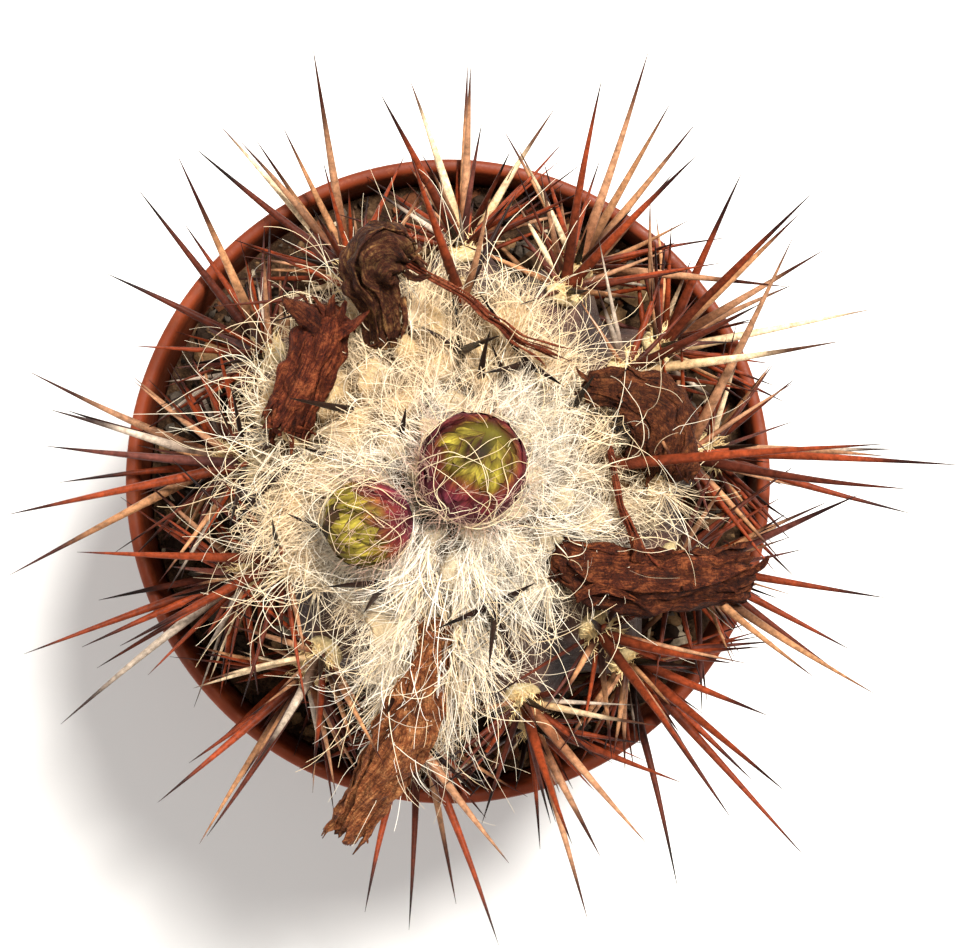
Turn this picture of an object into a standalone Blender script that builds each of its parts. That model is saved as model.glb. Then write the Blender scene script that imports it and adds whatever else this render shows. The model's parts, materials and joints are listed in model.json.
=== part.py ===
"""A small desert cactus in a round plastic pot.

A ribbed globe with a taproot stands in gritty soil. Felt areoles with stout spines sit along its ribs,
wool covers its crown, and two buds and five dried flowers stand in the wool.
The origin is the centre of the pot's base, +Z is up. All sizes below are millimetres and degrees, and
make_object turns them into metres.
"""

import math
import random

import bmesh
import bpy
from mathutils import Matrix, Vector, noise
from mathutils.bvhtree import BVHTree

MM = 0.001
SEED = 11
TOUCH_GAP = 0.3  # between pieces that rest on each other

# Pot
POT_HEIGHT = 64.0
RIM_RADIUS = 42.5
BASE_RADIUS = 30.0
LEDGE, LEDGE_RADIUS = 52.5, 38.9  # where the tapered body ends under the collar, outside
COLLAR_RADII = (41.3, 41.9)  # outside, at the collar's foot and under the rim
INNER_LEDGE = 54.1  # the height of the ledge inside
LEDGE_FALL = 1.0
RIM_BAND, RIM_WIDTH = 2.2, 1.5
CHAMFER = 0.6
WALL = 1.3
BASE_THICKNESS = 1.5
POT_SIDES = 40
DRAIN_HOLES = 6
DRAIN_RADIUS = 2.6
DRAIN_CIRCLE = 20.0
DRAIN_SIDES = 8

# Soil
SOIL_TOP = 57.0
SOIL_SIDES = 36
SOIL_RINGS = 5
SOIL_GAP = TOUCH_GAP + 0.1
GRAIN_HEIGHTS = (1.1, 0.9)  # of the fine and the coarse grains
STONES = 10
STONE_SIDES = 5
STONE_SIZES = (1.1, 2.1)
STONE_PROFILE = ((-0.75, 0.7), (0.2, 1.0), (0.75, 0.6))  # height and radius, as shares of its size

# Body: an ellipsoid with ribs raised on it, and a taproot below the soil
BODY_CENTRE = Vector((2.5, -0.5, 75.0))
BODY_RADIUS = 27.0
BODY_RISE = 26.0  # from the centre to the crown
BODY_DROP = 25.0  # from the centre down to where the globe would end
RIBS = 13
POINTS_PER_RIB = 4
RIB_START = math.radians(8.0)
RIB_RELIEF = 2.6
TUBERCLE_RELIEF = 1.6
AREOLE_PITCH = 20.0  # degrees of latitude
LOWEST_AREOLE = -30.0
ROW_STEP = 5.0
LOWEST_ROW = -50.0
RIBS_BEGIN, RIBS_FULL = -43.0, -33.0  # latitudes where the ribs rise out of the plain root
RIBS_FADE, RIBS_END = 47.0, 66.0  # latitudes where they sink into the crown
CROWN_ROWS = (67.0, 74.0, 82.0)
TAPROOT = ((13.0, 50.0), (9.0, 42.0), (7.5, 30.0), (3.0, 17.0))  # radius and height
TAPROOT_TIP = 12.5

# Areoles and spines
PAD_WIDTH, PAD_LENGTH, PAD_HEIGHT = 1.6, 2.3, 1.0
PAD_SIDES = 5
RADIALS = 5
CENTRALS = 2
RADIAL_LENGTHS, CENTRAL_LENGTHS = (12.0, 19.0), (21.0, 30.0)
RADIAL_TILTS, CENTRAL_TILTS = (52.0, 72.0), (8.0, 34.0)  # degrees from the surface's normal
RADIAL_THICKNESS, CENTRAL_THICKNESS = 0.48, 0.72
ROOT_DEPTH = 0.9
SPINE_CLEARANCE = 0.45
LONGEST_SPINE = 36.0
LEAST_CLIMB, MOST_CLIMB = 10.0, 36.0  # degrees that a long spine rises, on the lowest and highest areoles
SHORTENED = (1.0, 0.85, 0.7)  # shares of its length that a blocked needle may keep
BENT = (0.0, 0.12, -0.12, 0.25, 0.4, -0.25, 0.6)  # slopes that it may be bent up or down by
CROWDING, OVERREACH, SINKING = 3.0, 2.0, 0.1  # how a listed spine shuns full, far and low areoles
COMFORTABLE = 0.85  # share of the longest length that a listed spine may reach without shunning

# Wool
WOOL_GAP = 0.9  # at its points: the facets between them sag towards the body
WOOL_SIDES, WOOL_ROWS, WOOL_UNDER_ROWS = 34, 6, 5
WOOL_EDGE_THICKNESS, WOOL_CROWN_THICKNESS = 1.4, 5.0
WOOL_EDGE = 55.0
WOOL_LOBES = (  # angle, width and drop
    (160.0, 44.0, 17.0), (95.0, 36.0, 13.0), (-5.0, 30.0, 10.0), (-102.0, 13.0, 40.0),
)
WOOL_RAGGED, WOOL_LUMPS = 4.0, 1.1
TUFTS = 40
TUFT_LENGTHS = (8.0, 5.5)  # at the edge and on the crown
TUFT_HALF_WIDTH = 1.8
WOOL_SPINE_RISE = 0.45  # the least share of a spine's direction that points out of the wool
WOOL_SPINE_LOSS = 0.35  # the share of a covered areole's spines that stay under the wool
WOOL_SPINE_SHARES = (0.95, 0.5)  # of their lengths, on the lowest and the highest covered areoles
WOOL_SPINE_LATITUDES = (30.0, 58.0)  # of those areoles
WOOL_SPINE_EDGE = 8.0  # degrees inside the wool's edge where the lowest of them come up

# The photograph's view, which the listed spines are placed by: the eye, and pixels
EYE = Vector((4.2, 1.0, 436.0))
FOCAL_PIXELS = 2823.0
CENTRE_PIXEL = (480.0, 474.0)
SPINE_PLANE = 90.0  # the height at which the listed spines' tips are read

# Long spines: where each leaves the body and where its tip is, in pixels of the view
LONG_SPINES = (
    ((385, 220), (313, 48)), ((275, 280), (177, 154)), ((240, 245), (138, 189)),
    ((300, 265), (240, 141)), ((215, 350), (184, 223)), ((355, 230), (323, 161)),
    ((410, 230), (380, 93)), ((435, 215), (410, 80)), ((480, 215), (555, 108)),
    ((530, 320), (602, 78)), ((560, 300), (614, 168)), ((570, 300), (697, 155)),
    ((668, 310), (742, 172)), ((650, 350), (800, 213)), ((700, 440), (793, 237)),
    ((600, 290), (788, 287)), ((680, 360), (873, 309)), ((680, 370), (842, 341)),
    ((660, 482), (960, 465)), ((660, 480), (885, 444)), ((715, 470), (896, 449)),
    ((700, 480), (908, 489)), ((745, 560), (860, 494)), ((690, 495), (800, 586)),
    ((740, 600), (887, 598)), ((700, 605), (870, 690)), ((700, 610), (834, 669)),
    ((725, 600), (851, 650)), ((695, 620), (769, 716)), ((670, 630), (753, 781)),
    ((640, 715), (806, 858)), ((565, 680), (648, 845)), ((600, 730), (683, 783)),
    ((630, 750), (678, 890)), ((440, 790), (499, 946)), ((510, 740), (540, 849)),
    ((560, 760), (601, 858)), ((540, 745), (588, 921)), ((475, 745), (509, 863)),
    ((465, 740), (483, 837)), ((405, 790), (409, 930)), ((390, 770), (365, 912)),
    ((370, 760), (342, 873)), ((330, 660), (207, 836)), ((245, 620), (61, 724)),
    ((300, 590), (120, 646)), ((240, 540), (82, 647)), ((250, 570), (97, 668)),
    ((270, 520), (8, 576)), ((245, 455), (6, 515)), ((230, 415), (26, 370)),
    ((220, 430), (48, 409)), ((225, 450), (45, 446)), ((230, 470), (57, 483)),
    ((260, 560), (77, 552)), ((270, 600), (148, 675)), ((330, 690), (242, 779)),
    ((290, 650), (189, 763)), ((240, 370), (134, 346)), ((470, 240), (482, 122)),
)


# Building blocks

def clear_scene():
    for obj in list(bpy.data.objects):
        bpy.data.objects.remove(obj, do_unlink=True)


def make_material(name, colour, roughness, metallic=0.0):
    material = bpy.data.materials.new(name)
    material.use_nodes = True
    shader = material.node_tree.nodes["Principled BSDF"]
    shader.inputs["Base Color"].default_value = (*colour, 1.0)
    shader.inputs["Roughness"].default_value = roughness
    shader.inputs["Metallic"].default_value = metallic
    return material


def make_object(name, points, faces, material=None):
    mesh = bpy.data.meshes.new(name)
    mesh.from_pydata([Vector(p) * MM for p in points], [], faces)
    mesh.update()
    if material:
        mesh.materials.append(material)
    obj = bpy.data.objects.new(name, mesh)
    bpy.context.scene.collection.objects.link(obj)
    return obj


def ring_faces(rings, sides):
    """Quads between rings of equal count, whose points run on from each other."""
    faces = []
    for row in range(rings - 1):
        for i in range(sides):
            j = (i + 1) % sides
            low, high = row * sides, (row + 1) * sides
            faces.append((low + i, low + j, high + j, high + i))
    return faces


def capped_loft(rings, first_pole=None, last_pole=None):
    """A closed body through rings of points that turn the same way, with a pole at each end, or flat."""
    sides = len(rings[0])
    points = [p for ring in rings for p in ring]
    faces = ring_faces(len(rings), sides)
    top = (len(rings) - 1) * sides
    if first_pole is None:
        return points, [*faces, tuple(reversed(range(sides))), tuple(range(top, top + sides))]
    points += [first_pole, last_pole]
    first, last = len(points) - 2, len(points) - 1
    for i in range(sides):
        j = (i + 1) % sides
        faces.append((first, j, i))
        faces.append((last, top + i, top + j))
    return points, faces


def turned(profile, sides, start=0.0):
    """Rings of a turned shape about the Z axis, from (radius, height) pairs."""
    rings = []
    for radius, height in profile:
        ring = []
        for i in range(sides):
            angle = start + 2 * math.pi * i / sides
            ring.append(Vector((radius * math.cos(angle), radius * math.sin(angle), height)))
        rings.append(ring)
    return rings


def apply_boolean(obj, operation, solver, collection):
    """Runs one Boolean with every object of the collection, applies it and removes them."""
    modifier = obj.modifiers.new("join", "BOOLEAN")
    modifier.operation = operation
    modifier.operand_type = "COLLECTION"
    modifier.collection = collection
    modifier.solver = solver
    depsgraph = bpy.context.evaluated_depsgraph_get()
    joined = bpy.data.meshes.new_from_object(obj.evaluated_get(depsgraph))
    obj.modifiers.clear()
    obj.data = joined
    for part in list(collection.objects):
        bpy.data.objects.remove(part, do_unlink=True)
    bpy.data.collections.remove(collection)


def combine(obj, parts, operation="UNION", solver="EXACT"):
    group = bpy.data.collections.new(obj.name + "_parts")
    bpy.context.scene.collection.children.link(group)
    for part in parts:
        bpy.context.scene.collection.objects.unlink(part)
        group.objects.link(part)
    apply_boolean(obj, operation, solver, group)


def merge_flat_faces(obj):
    """Drops the points that a cut leaves along straight edges and inside flat faces."""
    work = bmesh.new()
    work.from_mesh(obj.data)
    bmesh.ops.dissolve_limit(work, angle_limit=math.radians(0.05), verts=work.verts, edges=work.edges)
    work.to_mesh(obj.data)
    work.free()


def smooth_step(low, high, value):
    t = min(max((value - low) / (high - low), 0.0), 1.0)
    return t * t * (3 - 2 * t)


def mix(low, high, share):
    return low + (high - low) * share


def curve_point(route, t):
    """A point on a smooth curve through the route's points, with t from 0 to 1."""
    last = len(route) - 1
    place = min(max(t, 0.0), 1.0) * last
    i = min(int(place), last - 1)
    u = place - i
    before, start, end, after = (route[min(max(k, 0), last)] for k in (i - 1, i, i + 1, i + 2))
    return 0.5 * (
        2 * start + (end - before) * u + (2 * before - 5 * start + 4 * end - after) * u**2
        + (3 * start - before - 3 * end + after) * u**3
    )


def frame_at(route, t, side_hint):
    """The curve's point and direction, and two axes across it, the first near side_hint."""
    step = 0.02
    point = curve_point(route, t)
    ahead = (curve_point(route, t + step) - curve_point(route, t - step)).normalized()
    across = (side_hint - ahead * side_hint.dot(ahead)).normalized()
    return point, ahead, across, across.cross(ahead)


# Pot and soil

def inner_wall(height):
    """The pot's inner radius at a height: a taper, then a wider collar."""
    if height >= INNER_LEDGE:
        return mix(*COLLAR_RADII, (height - LEDGE) / (POT_HEIGHT - LEDGE)) - WALL
    return mix(BASE_RADIUS, LEDGE_RADIUS, height / LEDGE) - WALL


def make_pot(material):
    outer = (
        (BASE_RADIUS - CHAMFER, 0.0),
        (BASE_RADIUS, CHAMFER),
        (LEDGE_RADIUS, LEDGE),
        (COLLAR_RADII[0], LEDGE + CHAMFER),
        (COLLAR_RADII[1], POT_HEIGHT - RIM_BAND),
        (RIM_RADIUS, POT_HEIGHT - RIM_BAND + CHAMFER),
        (RIM_RADIUS, POT_HEIGHT - CHAMFER),
        (RIM_RADIUS - CHAMFER, POT_HEIGHT),
    )
    inner_heights = (POT_HEIGHT - CHAMFER, INNER_LEDGE, INNER_LEDGE - LEDGE_FALL, BASE_THICKNESS)
    inner = tuple((inner_wall(height), height) for height in inner_heights)
    top = ((RIM_RADIUS - RIM_WIDTH, POT_HEIGHT),)
    rings = turned(outer + top + inner, POT_SIDES)
    pot = make_object("pot", *capped_loft(rings), material)
    holes = []
    for i in range(DRAIN_HOLES):
        angle = 2 * math.pi * i / DRAIN_HOLES
        profile = ((DRAIN_RADIUS, -1.0), (DRAIN_RADIUS, BASE_THICKNESS + 1.0))
        centre = Vector((DRAIN_CIRCLE * math.cos(angle), DRAIN_CIRCLE * math.sin(angle), 0))
        ring_pair = [[p + centre for p in ring] for ring in turned(profile, DRAIN_SIDES)]
        holes.append(make_object("drain_cutter", *capped_loft(ring_pair)))
    combine(pot, holes, "DIFFERENCE", "MANIFOLD")
    merge_flat_faces(pot)
    return pot


def root_profile(extra=0.0):
    """Radius and height of the part of the body that stands in the soil, from the tip up."""
    profile = [(radius + extra, height) for radius, height in reversed(TAPROOT)]
    for latitude in (LOWEST_ROW, LOWEST_ROW + ROW_STEP, LOWEST_ROW + 2 * ROW_STEP):
        angle = math.radians(latitude)
        height = BODY_CENTRE.z + BODY_DROP * math.sin(angle)
        profile.append((BODY_RADIUS * math.cos(angle) + extra, height))
    return profile


def grit(x, y):
    """Height of the soil's grains over its mean level."""
    fine = noise.noise(Vector((x * 0.55, y * 0.55, 3.0)))
    coarse = noise.noise(Vector((x * 0.16, y * 0.16, 9.0)))
    return GRAIN_HEIGHTS[0] * fine + GRAIN_HEIGHTS[1] * coarse


def stone(rng, centre, size):
    """A rough pebble, half sunk."""
    turn = Matrix.Rotation(rng.uniform(0, math.pi), 3, "Z")
    scale = Vector((size, size * rng.uniform(0.65, 0.95), size * rng.uniform(0.5, 0.75)))
    rings = []
    for height, radius in STONE_PROFILE:
        ring = []
        for i in range(STONE_SIDES):
            angle = 2 * math.pi * i / STONE_SIDES + rng.uniform(-0.2, 0.2)
            point = Vector((radius * math.cos(angle), radius * math.sin(angle), height))
            ring.append(centre + turn @ (point * scale))
        rings.append(ring)
    low, high = Vector((0, 0, -1.0)) * scale, Vector((0, 0, 1.0)) * scale
    return make_object("stone", *capped_loft(rings, centre + low, centre + high))


def soil_top(lip, edge):
    """Rings of grains from the hole's lip out to the pot's wall."""
    top = []
    for row in range(SOIL_RINGS):
        share = row / (SOIL_RINGS - 1)
        ring = []
        for inner, outer in zip(lip, edge):
            point = inner.lerp(outer, share)
            ends = min(1.0, 5 * share, 5 * (1 - share))
            point.z += ends * grit(point.x, point.y)
            ring.append(point)
        top.append(ring)
    return top


def make_stones(lip, edge):
    """Pebbles spread round the top by the golden angle."""
    rng = random.Random(SEED)
    stones = []
    for i in range(STONES):
        angle = i * math.pi * (3 - math.sqrt(5)) * 2
        side = int(angle / (2 * math.pi) * SOIL_SIDES) % SOIL_SIDES
        centre = lip[side].lerp(edge[side], rng.uniform(0.3, 0.78))
        centre.z += grit(centre.x, centre.y)
        stones.append(stone(rng, centre, rng.uniform(*STONE_SIZES)))
    return stones


def make_soil(material):
    """The mix that fills the pot, with a hole for the taproot."""
    plan = Vector((BODY_CENTRE.x, BODY_CENTRE.y, 0))
    root = root_profile(SOIL_GAP)
    in_soil = root[:-2]
    socket = [[p + plan for p in ring] for ring in turned(in_soil, SOIL_SIDES, RIB_START)]
    lip_radius = root[-2][0] + TOUCH_GAP
    lip = [p + plan for p in turned(((lip_radius, SOIL_TOP),), SOIL_SIDES, RIB_START)[0]]
    edge = turned(((inner_wall(SOIL_TOP) - SOIL_GAP, SOIL_TOP),), SOIL_SIDES, RIB_START)[0]
    floor = BASE_THICKNESS + TOUCH_GAP
    ledge_foot = INNER_LEDGE - LEDGE_FALL
    outline = (
        (inner_wall(INNER_LEDGE) - SOIL_GAP, INNER_LEDGE + SOIL_GAP),
        (inner_wall(ledge_foot) - SOIL_GAP, ledge_foot + SOIL_GAP),
        (inner_wall(floor) - SOIL_GAP, floor),
    )
    rings = socket + soil_top(lip, edge) + turned(outline, SOIL_SIDES, RIB_START)
    first = plan + Vector((0, 0, TAPROOT_TIP - 1.0))
    points, faces = capped_loft(rings, first, Vector((0, 0, floor)))
    # The rings run up the socket, out over the top and down the side, so the faces are turned over.
    soil = make_object("soil", points, [tuple(reversed(f)) for f in faces], material)
    combine(soil, make_stones(lip, edge))
    return soil


# Body

def body_normal(angle, latitude):
    rise = BODY_RISE if latitude >= 0 else BODY_DROP
    lat = math.radians(latitude)
    return Vector((
        math.cos(lat) * math.cos(angle) / BODY_RADIUS,
        math.cos(lat) * math.sin(angle) / BODY_RADIUS,
        math.sin(lat) / rise,
    )).normalized()


def ellipsoid_point(angle, latitude):
    rise = BODY_RISE if latitude >= 0 else BODY_DROP
    lat = math.radians(latitude)
    return BODY_CENTRE + Vector((
        BODY_RADIUS * math.cos(lat) * math.cos(angle),
        BODY_RADIUS * math.cos(lat) * math.sin(angle),
        rise * math.sin(lat),
    ))


def rib_fade(latitude):
    return smooth_step(RIBS_BEGIN, RIBS_FULL, latitude) * (1 - smooth_step(RIBS_FADE, RIBS_END, latitude))


def rib_angle(rib):
    return RIB_START + 2 * math.pi * rib / RIBS


def first_latitude(rib):
    """Neighbouring ribs carry their areoles half a pitch apart."""
    return LOWEST_AREOLE + (AREOLE_PITCH / 2 if rib % 2 else 0.0)


def relief(angle, latitude):
    """Height of the ribs and their chinned tubercles over the ellipsoid."""
    turns = (angle - RIB_START) * RIBS / (2 * math.pi)
    crest = (0.5 + 0.5 * math.cos(2 * math.pi * turns)) ** 0.8
    phase = 2 * math.pi * (latitude - first_latitude(round(turns) % RIBS)) / AREOLE_PITCH
    swell = 0.5 + 0.5 * math.cos(phase + 0.5 * math.sin(phase))
    return rib_fade(latitude) * crest * (RIB_RELIEF + TUBERCLE_RELIEF * swell)


def body_point(angle, latitude):
    return ellipsoid_point(angle, latitude) + body_normal(angle, latitude) * relief(angle, latitude)


def envelope_point(angle, latitude, lift):
    """A point over the highest tubercles."""
    height = rib_fade(latitude) * (RIB_RELIEF + TUBERCLE_RELIEF) + lift
    return ellipsoid_point(angle, latitude) + body_normal(angle, latitude) * height


def make_body_core(material):
    sides = RIBS * POINTS_PER_RIB
    plan = Vector((BODY_CENTRE.x, BODY_CENTRE.y, 0))
    root = root_profile()[: len(TAPROOT)]
    rings = [[p + plan for p in ring] for ring in turned(root, sides, RIB_START)]
    rows = [LOWEST_ROW + ROW_STEP * k for k in range(int((60.0 - LOWEST_ROW) / ROW_STEP) + 1)]
    for latitude in (*rows, *CROWN_ROWS):
        ring = []
        for i in range(sides):
            ring.append(body_point(RIB_START + 2 * math.pi * i / sides, latitude))
        rings.append(ring)
    tip = plan + Vector((0, 0, TAPROOT_TIP))
    crown = BODY_CENTRE + Vector((0, 0, BODY_RISE))
    return make_object("cactus_body", *capped_loft(rings, tip, crown), material)


def areole_places():
    """Rib angle and latitude of every areole."""
    places = []
    for rib in range(RIBS):
        latitude = first_latitude(rib)
        while latitude < RIBS_END:
            places.append((rib_angle(rib), latitude))
            latitude += AREOLE_PITCH
    return places


def surface_axes(angle, latitude):
    """The outward normal, the direction up the rib and the one across it."""
    normal = body_normal(angle, latitude)
    across = Vector((-math.sin(angle), math.cos(angle), 0))
    return normal, normal.cross(across), across


def make_pad(angle, latitude):
    normal, along, across = surface_axes(angle, latitude)
    centre = body_point(angle, latitude)
    rings = []
    for lift, share in ((-1.0, 1.0), (0.5, 0.85)):
        ring = []
        for i in range(PAD_SIDES):
            turn = 2 * math.pi * i / PAD_SIDES
            flat = across * (PAD_WIDTH * math.cos(turn)) + along * (PAD_LENGTH * math.sin(turn))
            ring.append(centre + flat * share + normal * (lift * PAD_HEIGHT))
        rings.append(ring)
    poles = centre - normal * PAD_HEIGHT, centre + normal * PAD_HEIGHT
    return make_object("areole", *capped_loft(rings, *poles))


# Spines

def spine_shape(root, tip, radius):
    """A three-sided needle with a pointed tip."""
    axis = (tip - root).normalized()
    across = axis.orthogonal().normalized()
    other = axis.cross(across)
    ring = []
    for i in range(3):
        turn = 2 * math.pi * i / 3
        ring.append(root + (across * math.cos(turn) + other * math.sin(turn)) * radius)
    return make_object("spine", [*ring, tip], [(0, 2, 1), (0, 1, 3), (1, 2, 3), (2, 0, 3)])


def tree_of(obj):
    depsgraph = bpy.context.evaluated_depsgraph_get()
    return BVHTree.FromObject(obj, depsgraph)


def is_clear(trees, start, tip, radius):
    """True if a needle from start to tip stays away from every neighbour."""
    steps = max(3, int((tip - start).length / 0.6))
    for k in range(steps + 1):
        share = k / steps
        point = start.lerp(tip, share) * MM
        reach = (SPINE_CLEARANCE + radius * (1 - share)) * MM
        for tree in trees:
            if tree.find_nearest(point, reach)[0] is not None:
                return False
    return True


def clear_tip(trees, start, tip, radius):
    """The tip, or the nearest of its bent or shortened places that keeps the needle clear, or None."""
    along = tip - start
    for length in SHORTENED:
        for bend in BENT:
            lifted = along + Vector((0, 0, along.length * bend))
            place = start + lifted.normalized() * along.length * length
            if is_clear(trees, start, place, radius):
                return place
    return None


def photo_point(pixel, height):
    """The point at a height that the view shows at a pixel."""
    scale = (EYE.z - height) / FOCAL_PIXELS
    across, down = pixel[0] - CENTRE_PIXEL[0], pixel[1] - CENTRE_PIXEL[1]
    return Vector((EYE.x + across * scale, EYE.y - down * scale, height))


def climbing_tip(root, pixel, latitude):
    """The tip that the view shows at a pixel, raised by its areole's slope within the longest length."""
    height = root.z
    slope = math.radians(mix(LEAST_CLIMB, MOST_CLIMB, smooth_step(-30.0, 60.0, latitude)))
    for _ in range(4):
        tip = photo_point(pixel, height)
        reach = (tip.xy - root.xy).length
        steepest = math.acos(min(reach / LONGEST_SPINE, 0.98))
        height = root.z + reach * math.tan(min(slope, steepest))
    return photo_point(pixel, height)


def listed_tips(places):
    """For each areole's index, the tips of the long spines that grow from it."""
    tips = {}
    roots = [body_point(*place) for place in places]
    for foot_pixel, tip_pixel in LONG_SPINES:
        foot = photo_point(foot_pixel, SPINE_PLANE)
        tip = photo_point(tip_pixel, SPINE_PLANE)

        def cost(index):
            root = roots[index]
            miss = (root.xy - foot.xy).length
            crowd = CROWDING * len(tips.get(index, ()))
            overlong = max(0.0, (root.xy - tip.xy).length - COMFORTABLE * LONGEST_SPINE)
            return miss + crowd + OVERREACH * overlong + SINKING * (SPINE_PLANE - root.z)

        index = min(range(len(places)), key=cost)
        tips.setdefault(index, []).append(climbing_tip(roots[index], tip_pixel, places[index][1]))
    return tips


def areole_spines(rng, angle, latitude, listed):
    """Tips relative to the areole, with each needle's radius."""
    normal, up, across = surface_axes(angle, latitude)
    spines = []
    start_turn = rng.uniform(0, 2 * math.pi)
    for i in range(RADIALS):
        turn = start_turn + 2 * math.pi * (i + rng.uniform(-0.2, 0.2)) / RADIALS
        tilt = math.radians(rng.uniform(*RADIAL_TILTS))
        way = up * math.cos(turn) + across * math.sin(turn)
        direction = normal * math.cos(tilt) + way * math.sin(tilt)
        spines.append((direction * rng.uniform(*RADIAL_LENGTHS), RADIAL_THICKNESS))
    for i in range(CENTRALS - min(CENTRALS, listed)):
        turn = rng.uniform(-1.3, 1.3)
        tilt = math.radians(rng.uniform(*CENTRAL_TILTS))
        way = up * math.cos(turn) + across * math.sin(turn)
        direction = normal * math.cos(tilt) + way * math.sin(tilt)
        spines.append((direction * rng.uniform(*CENTRAL_LENGTHS), CENTRAL_THICKNESS))
    return spines


# Wool

def wool_edge(angle):
    """Latitude of the wool's ragged lower edge."""
    lowest = WOOL_EDGE
    for centre, width, drop in WOOL_LOBES:
        away = abs((math.degrees(angle) - centre + 180.0) % 360.0 - 180.0)
        lowest -= drop * math.exp(-((away / width) ** 2))
    ragged = noise.noise(Vector((math.cos(angle) * 4, math.sin(angle) * 4, 1.0)))
    return lowest + WOOL_RAGGED * ragged


def wool_thickness(angle, latitude, share):
    """From a thin edge, at share 0, to the deep crown, with lumps of felt."""
    place = Vector((math.cos(angle), math.sin(angle), latitude / 40.0)) * 3.0
    lumps = WOOL_LUMPS * noise.noise(place)
    body = mix(WOOL_EDGE_THICKNESS, WOOL_CROWN_THICKNESS, smooth_step(0.0, 0.75, share))
    return body + lumps * min(1.0, 3 * share)


def wool_ring(share, under):
    ring = []
    for i in range(WOOL_SIDES):
        angle = 2 * math.pi * i / WOOL_SIDES
        latitude = mix(wool_edge(angle), 90.0, share)
        thickness = 0.0 if under else wool_thickness(angle, latitude, share)
        ring.append(envelope_point(angle, latitude, WOOL_GAP + thickness))
    return ring


def make_wool_core(material):
    under = [wool_ring(1 - k / WOOL_UNDER_ROWS, True) for k in range(1, WOOL_UNDER_ROWS + 1)]
    over = [wool_ring(k / WOOL_ROWS, False) for k in range(WOOL_ROWS)]
    crown = BODY_CENTRE + Vector((0, 0, BODY_RISE + WOOL_GAP))
    top = crown + Vector((0, 0, WOOL_CROWN_THICKNESS))
    points, faces = capped_loft(under + over, crown, top)
    return make_object("crown_wool", points, faces, material)


def wool_point(angle, latitude):
    edge = wool_edge(angle)
    share = min(max((latitude - edge) / (90.0 - edge), 0.0), 1.0)
    return envelope_point(angle, latitude, WOOL_GAP + wool_thickness(angle, latitude, share))


def make_tufts():
    """Locks of wool that lean out and down, longer towards the edge."""
    rng = random.Random(SEED + 1)
    tufts = []
    for i in range(TUFTS):
        angle = i * math.pi * (3 - math.sqrt(5))
        share = 0.06 + 0.72 * (i / TUFTS) ** 0.9
        latitude = mix(wool_edge(angle), 90.0, share)
        normal, up, across = surface_axes(angle, latitude)
        root = wool_point(angle, latitude) - normal * 0.7
        lean = rng.uniform(-0.5, 0.5)
        way = (across * lean - up * 1.0).normalized()
        length = mix(*TUFT_LENGTHS, share) * rng.uniform(0.8, 1.25)
        tip = root + (way * 0.85 + normal * rng.uniform(0.5, 0.8)).normalized() * length
        half = across * TUFT_HALF_WIDTH
        low = root - normal * 0.5
        ring = [low - half, low + half, root + normal + up * 1.4]
        faces = [(0, 2, 1), (0, 1, 3), (1, 2, 3), (2, 0, 3)]
        tufts.append(make_object("tuft", [*ring, tip], faces))
    return tufts


# Buds

# Share of its length and of its widest radius
BUD_SHAPE = ((0.03, 0.36), (0.13, 0.68), (0.28, 0.9), (0.45, 1.0), (0.62, 0.98), (0.78, 0.84), (0.91, 0.54))
BUD_SIDES = 14
SCALE_RELIEF = 0.07


def bud_mesh(foot, tip, radius, grow=0.0):
    """An ovoid of overlapping scales, from its foot in the wool to its tip."""
    axis = (tip - foot).normalized()
    length = (tip - foot).length + 2 * grow
    across = axis.orthogonal().normalized()
    other = axis.cross(across)
    start = foot - axis * grow
    rings = []
    for row, (share, width) in enumerate(BUD_SHAPE):
        ring = []
        for i in range(BUD_SIDES):
            turn = 2 * math.pi * i / BUD_SIDES
            scale = 1 + SCALE_RELIEF * (1.0 if grow else math.cos(7 * turn + row * math.pi))
            way = across * math.cos(turn) + other * math.sin(turn)
            ring.append(start + axis * (share * length) + way * (width * radius * scale + grow))
        rings.append(ring)
    return capped_loft(rings, start, start + axis * length)


BUDS = (
    ("bud_large", Vector((0.7, -2.7, 103.8)), Vector((5.8, 6.0, 113.4)), 5.9),
    ("bud_small", Vector((-3.6, -3.8, 107.0)), Vector((-14.2, -5.7, 107.4)), 4.9),
)


# Dried flowers

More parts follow.
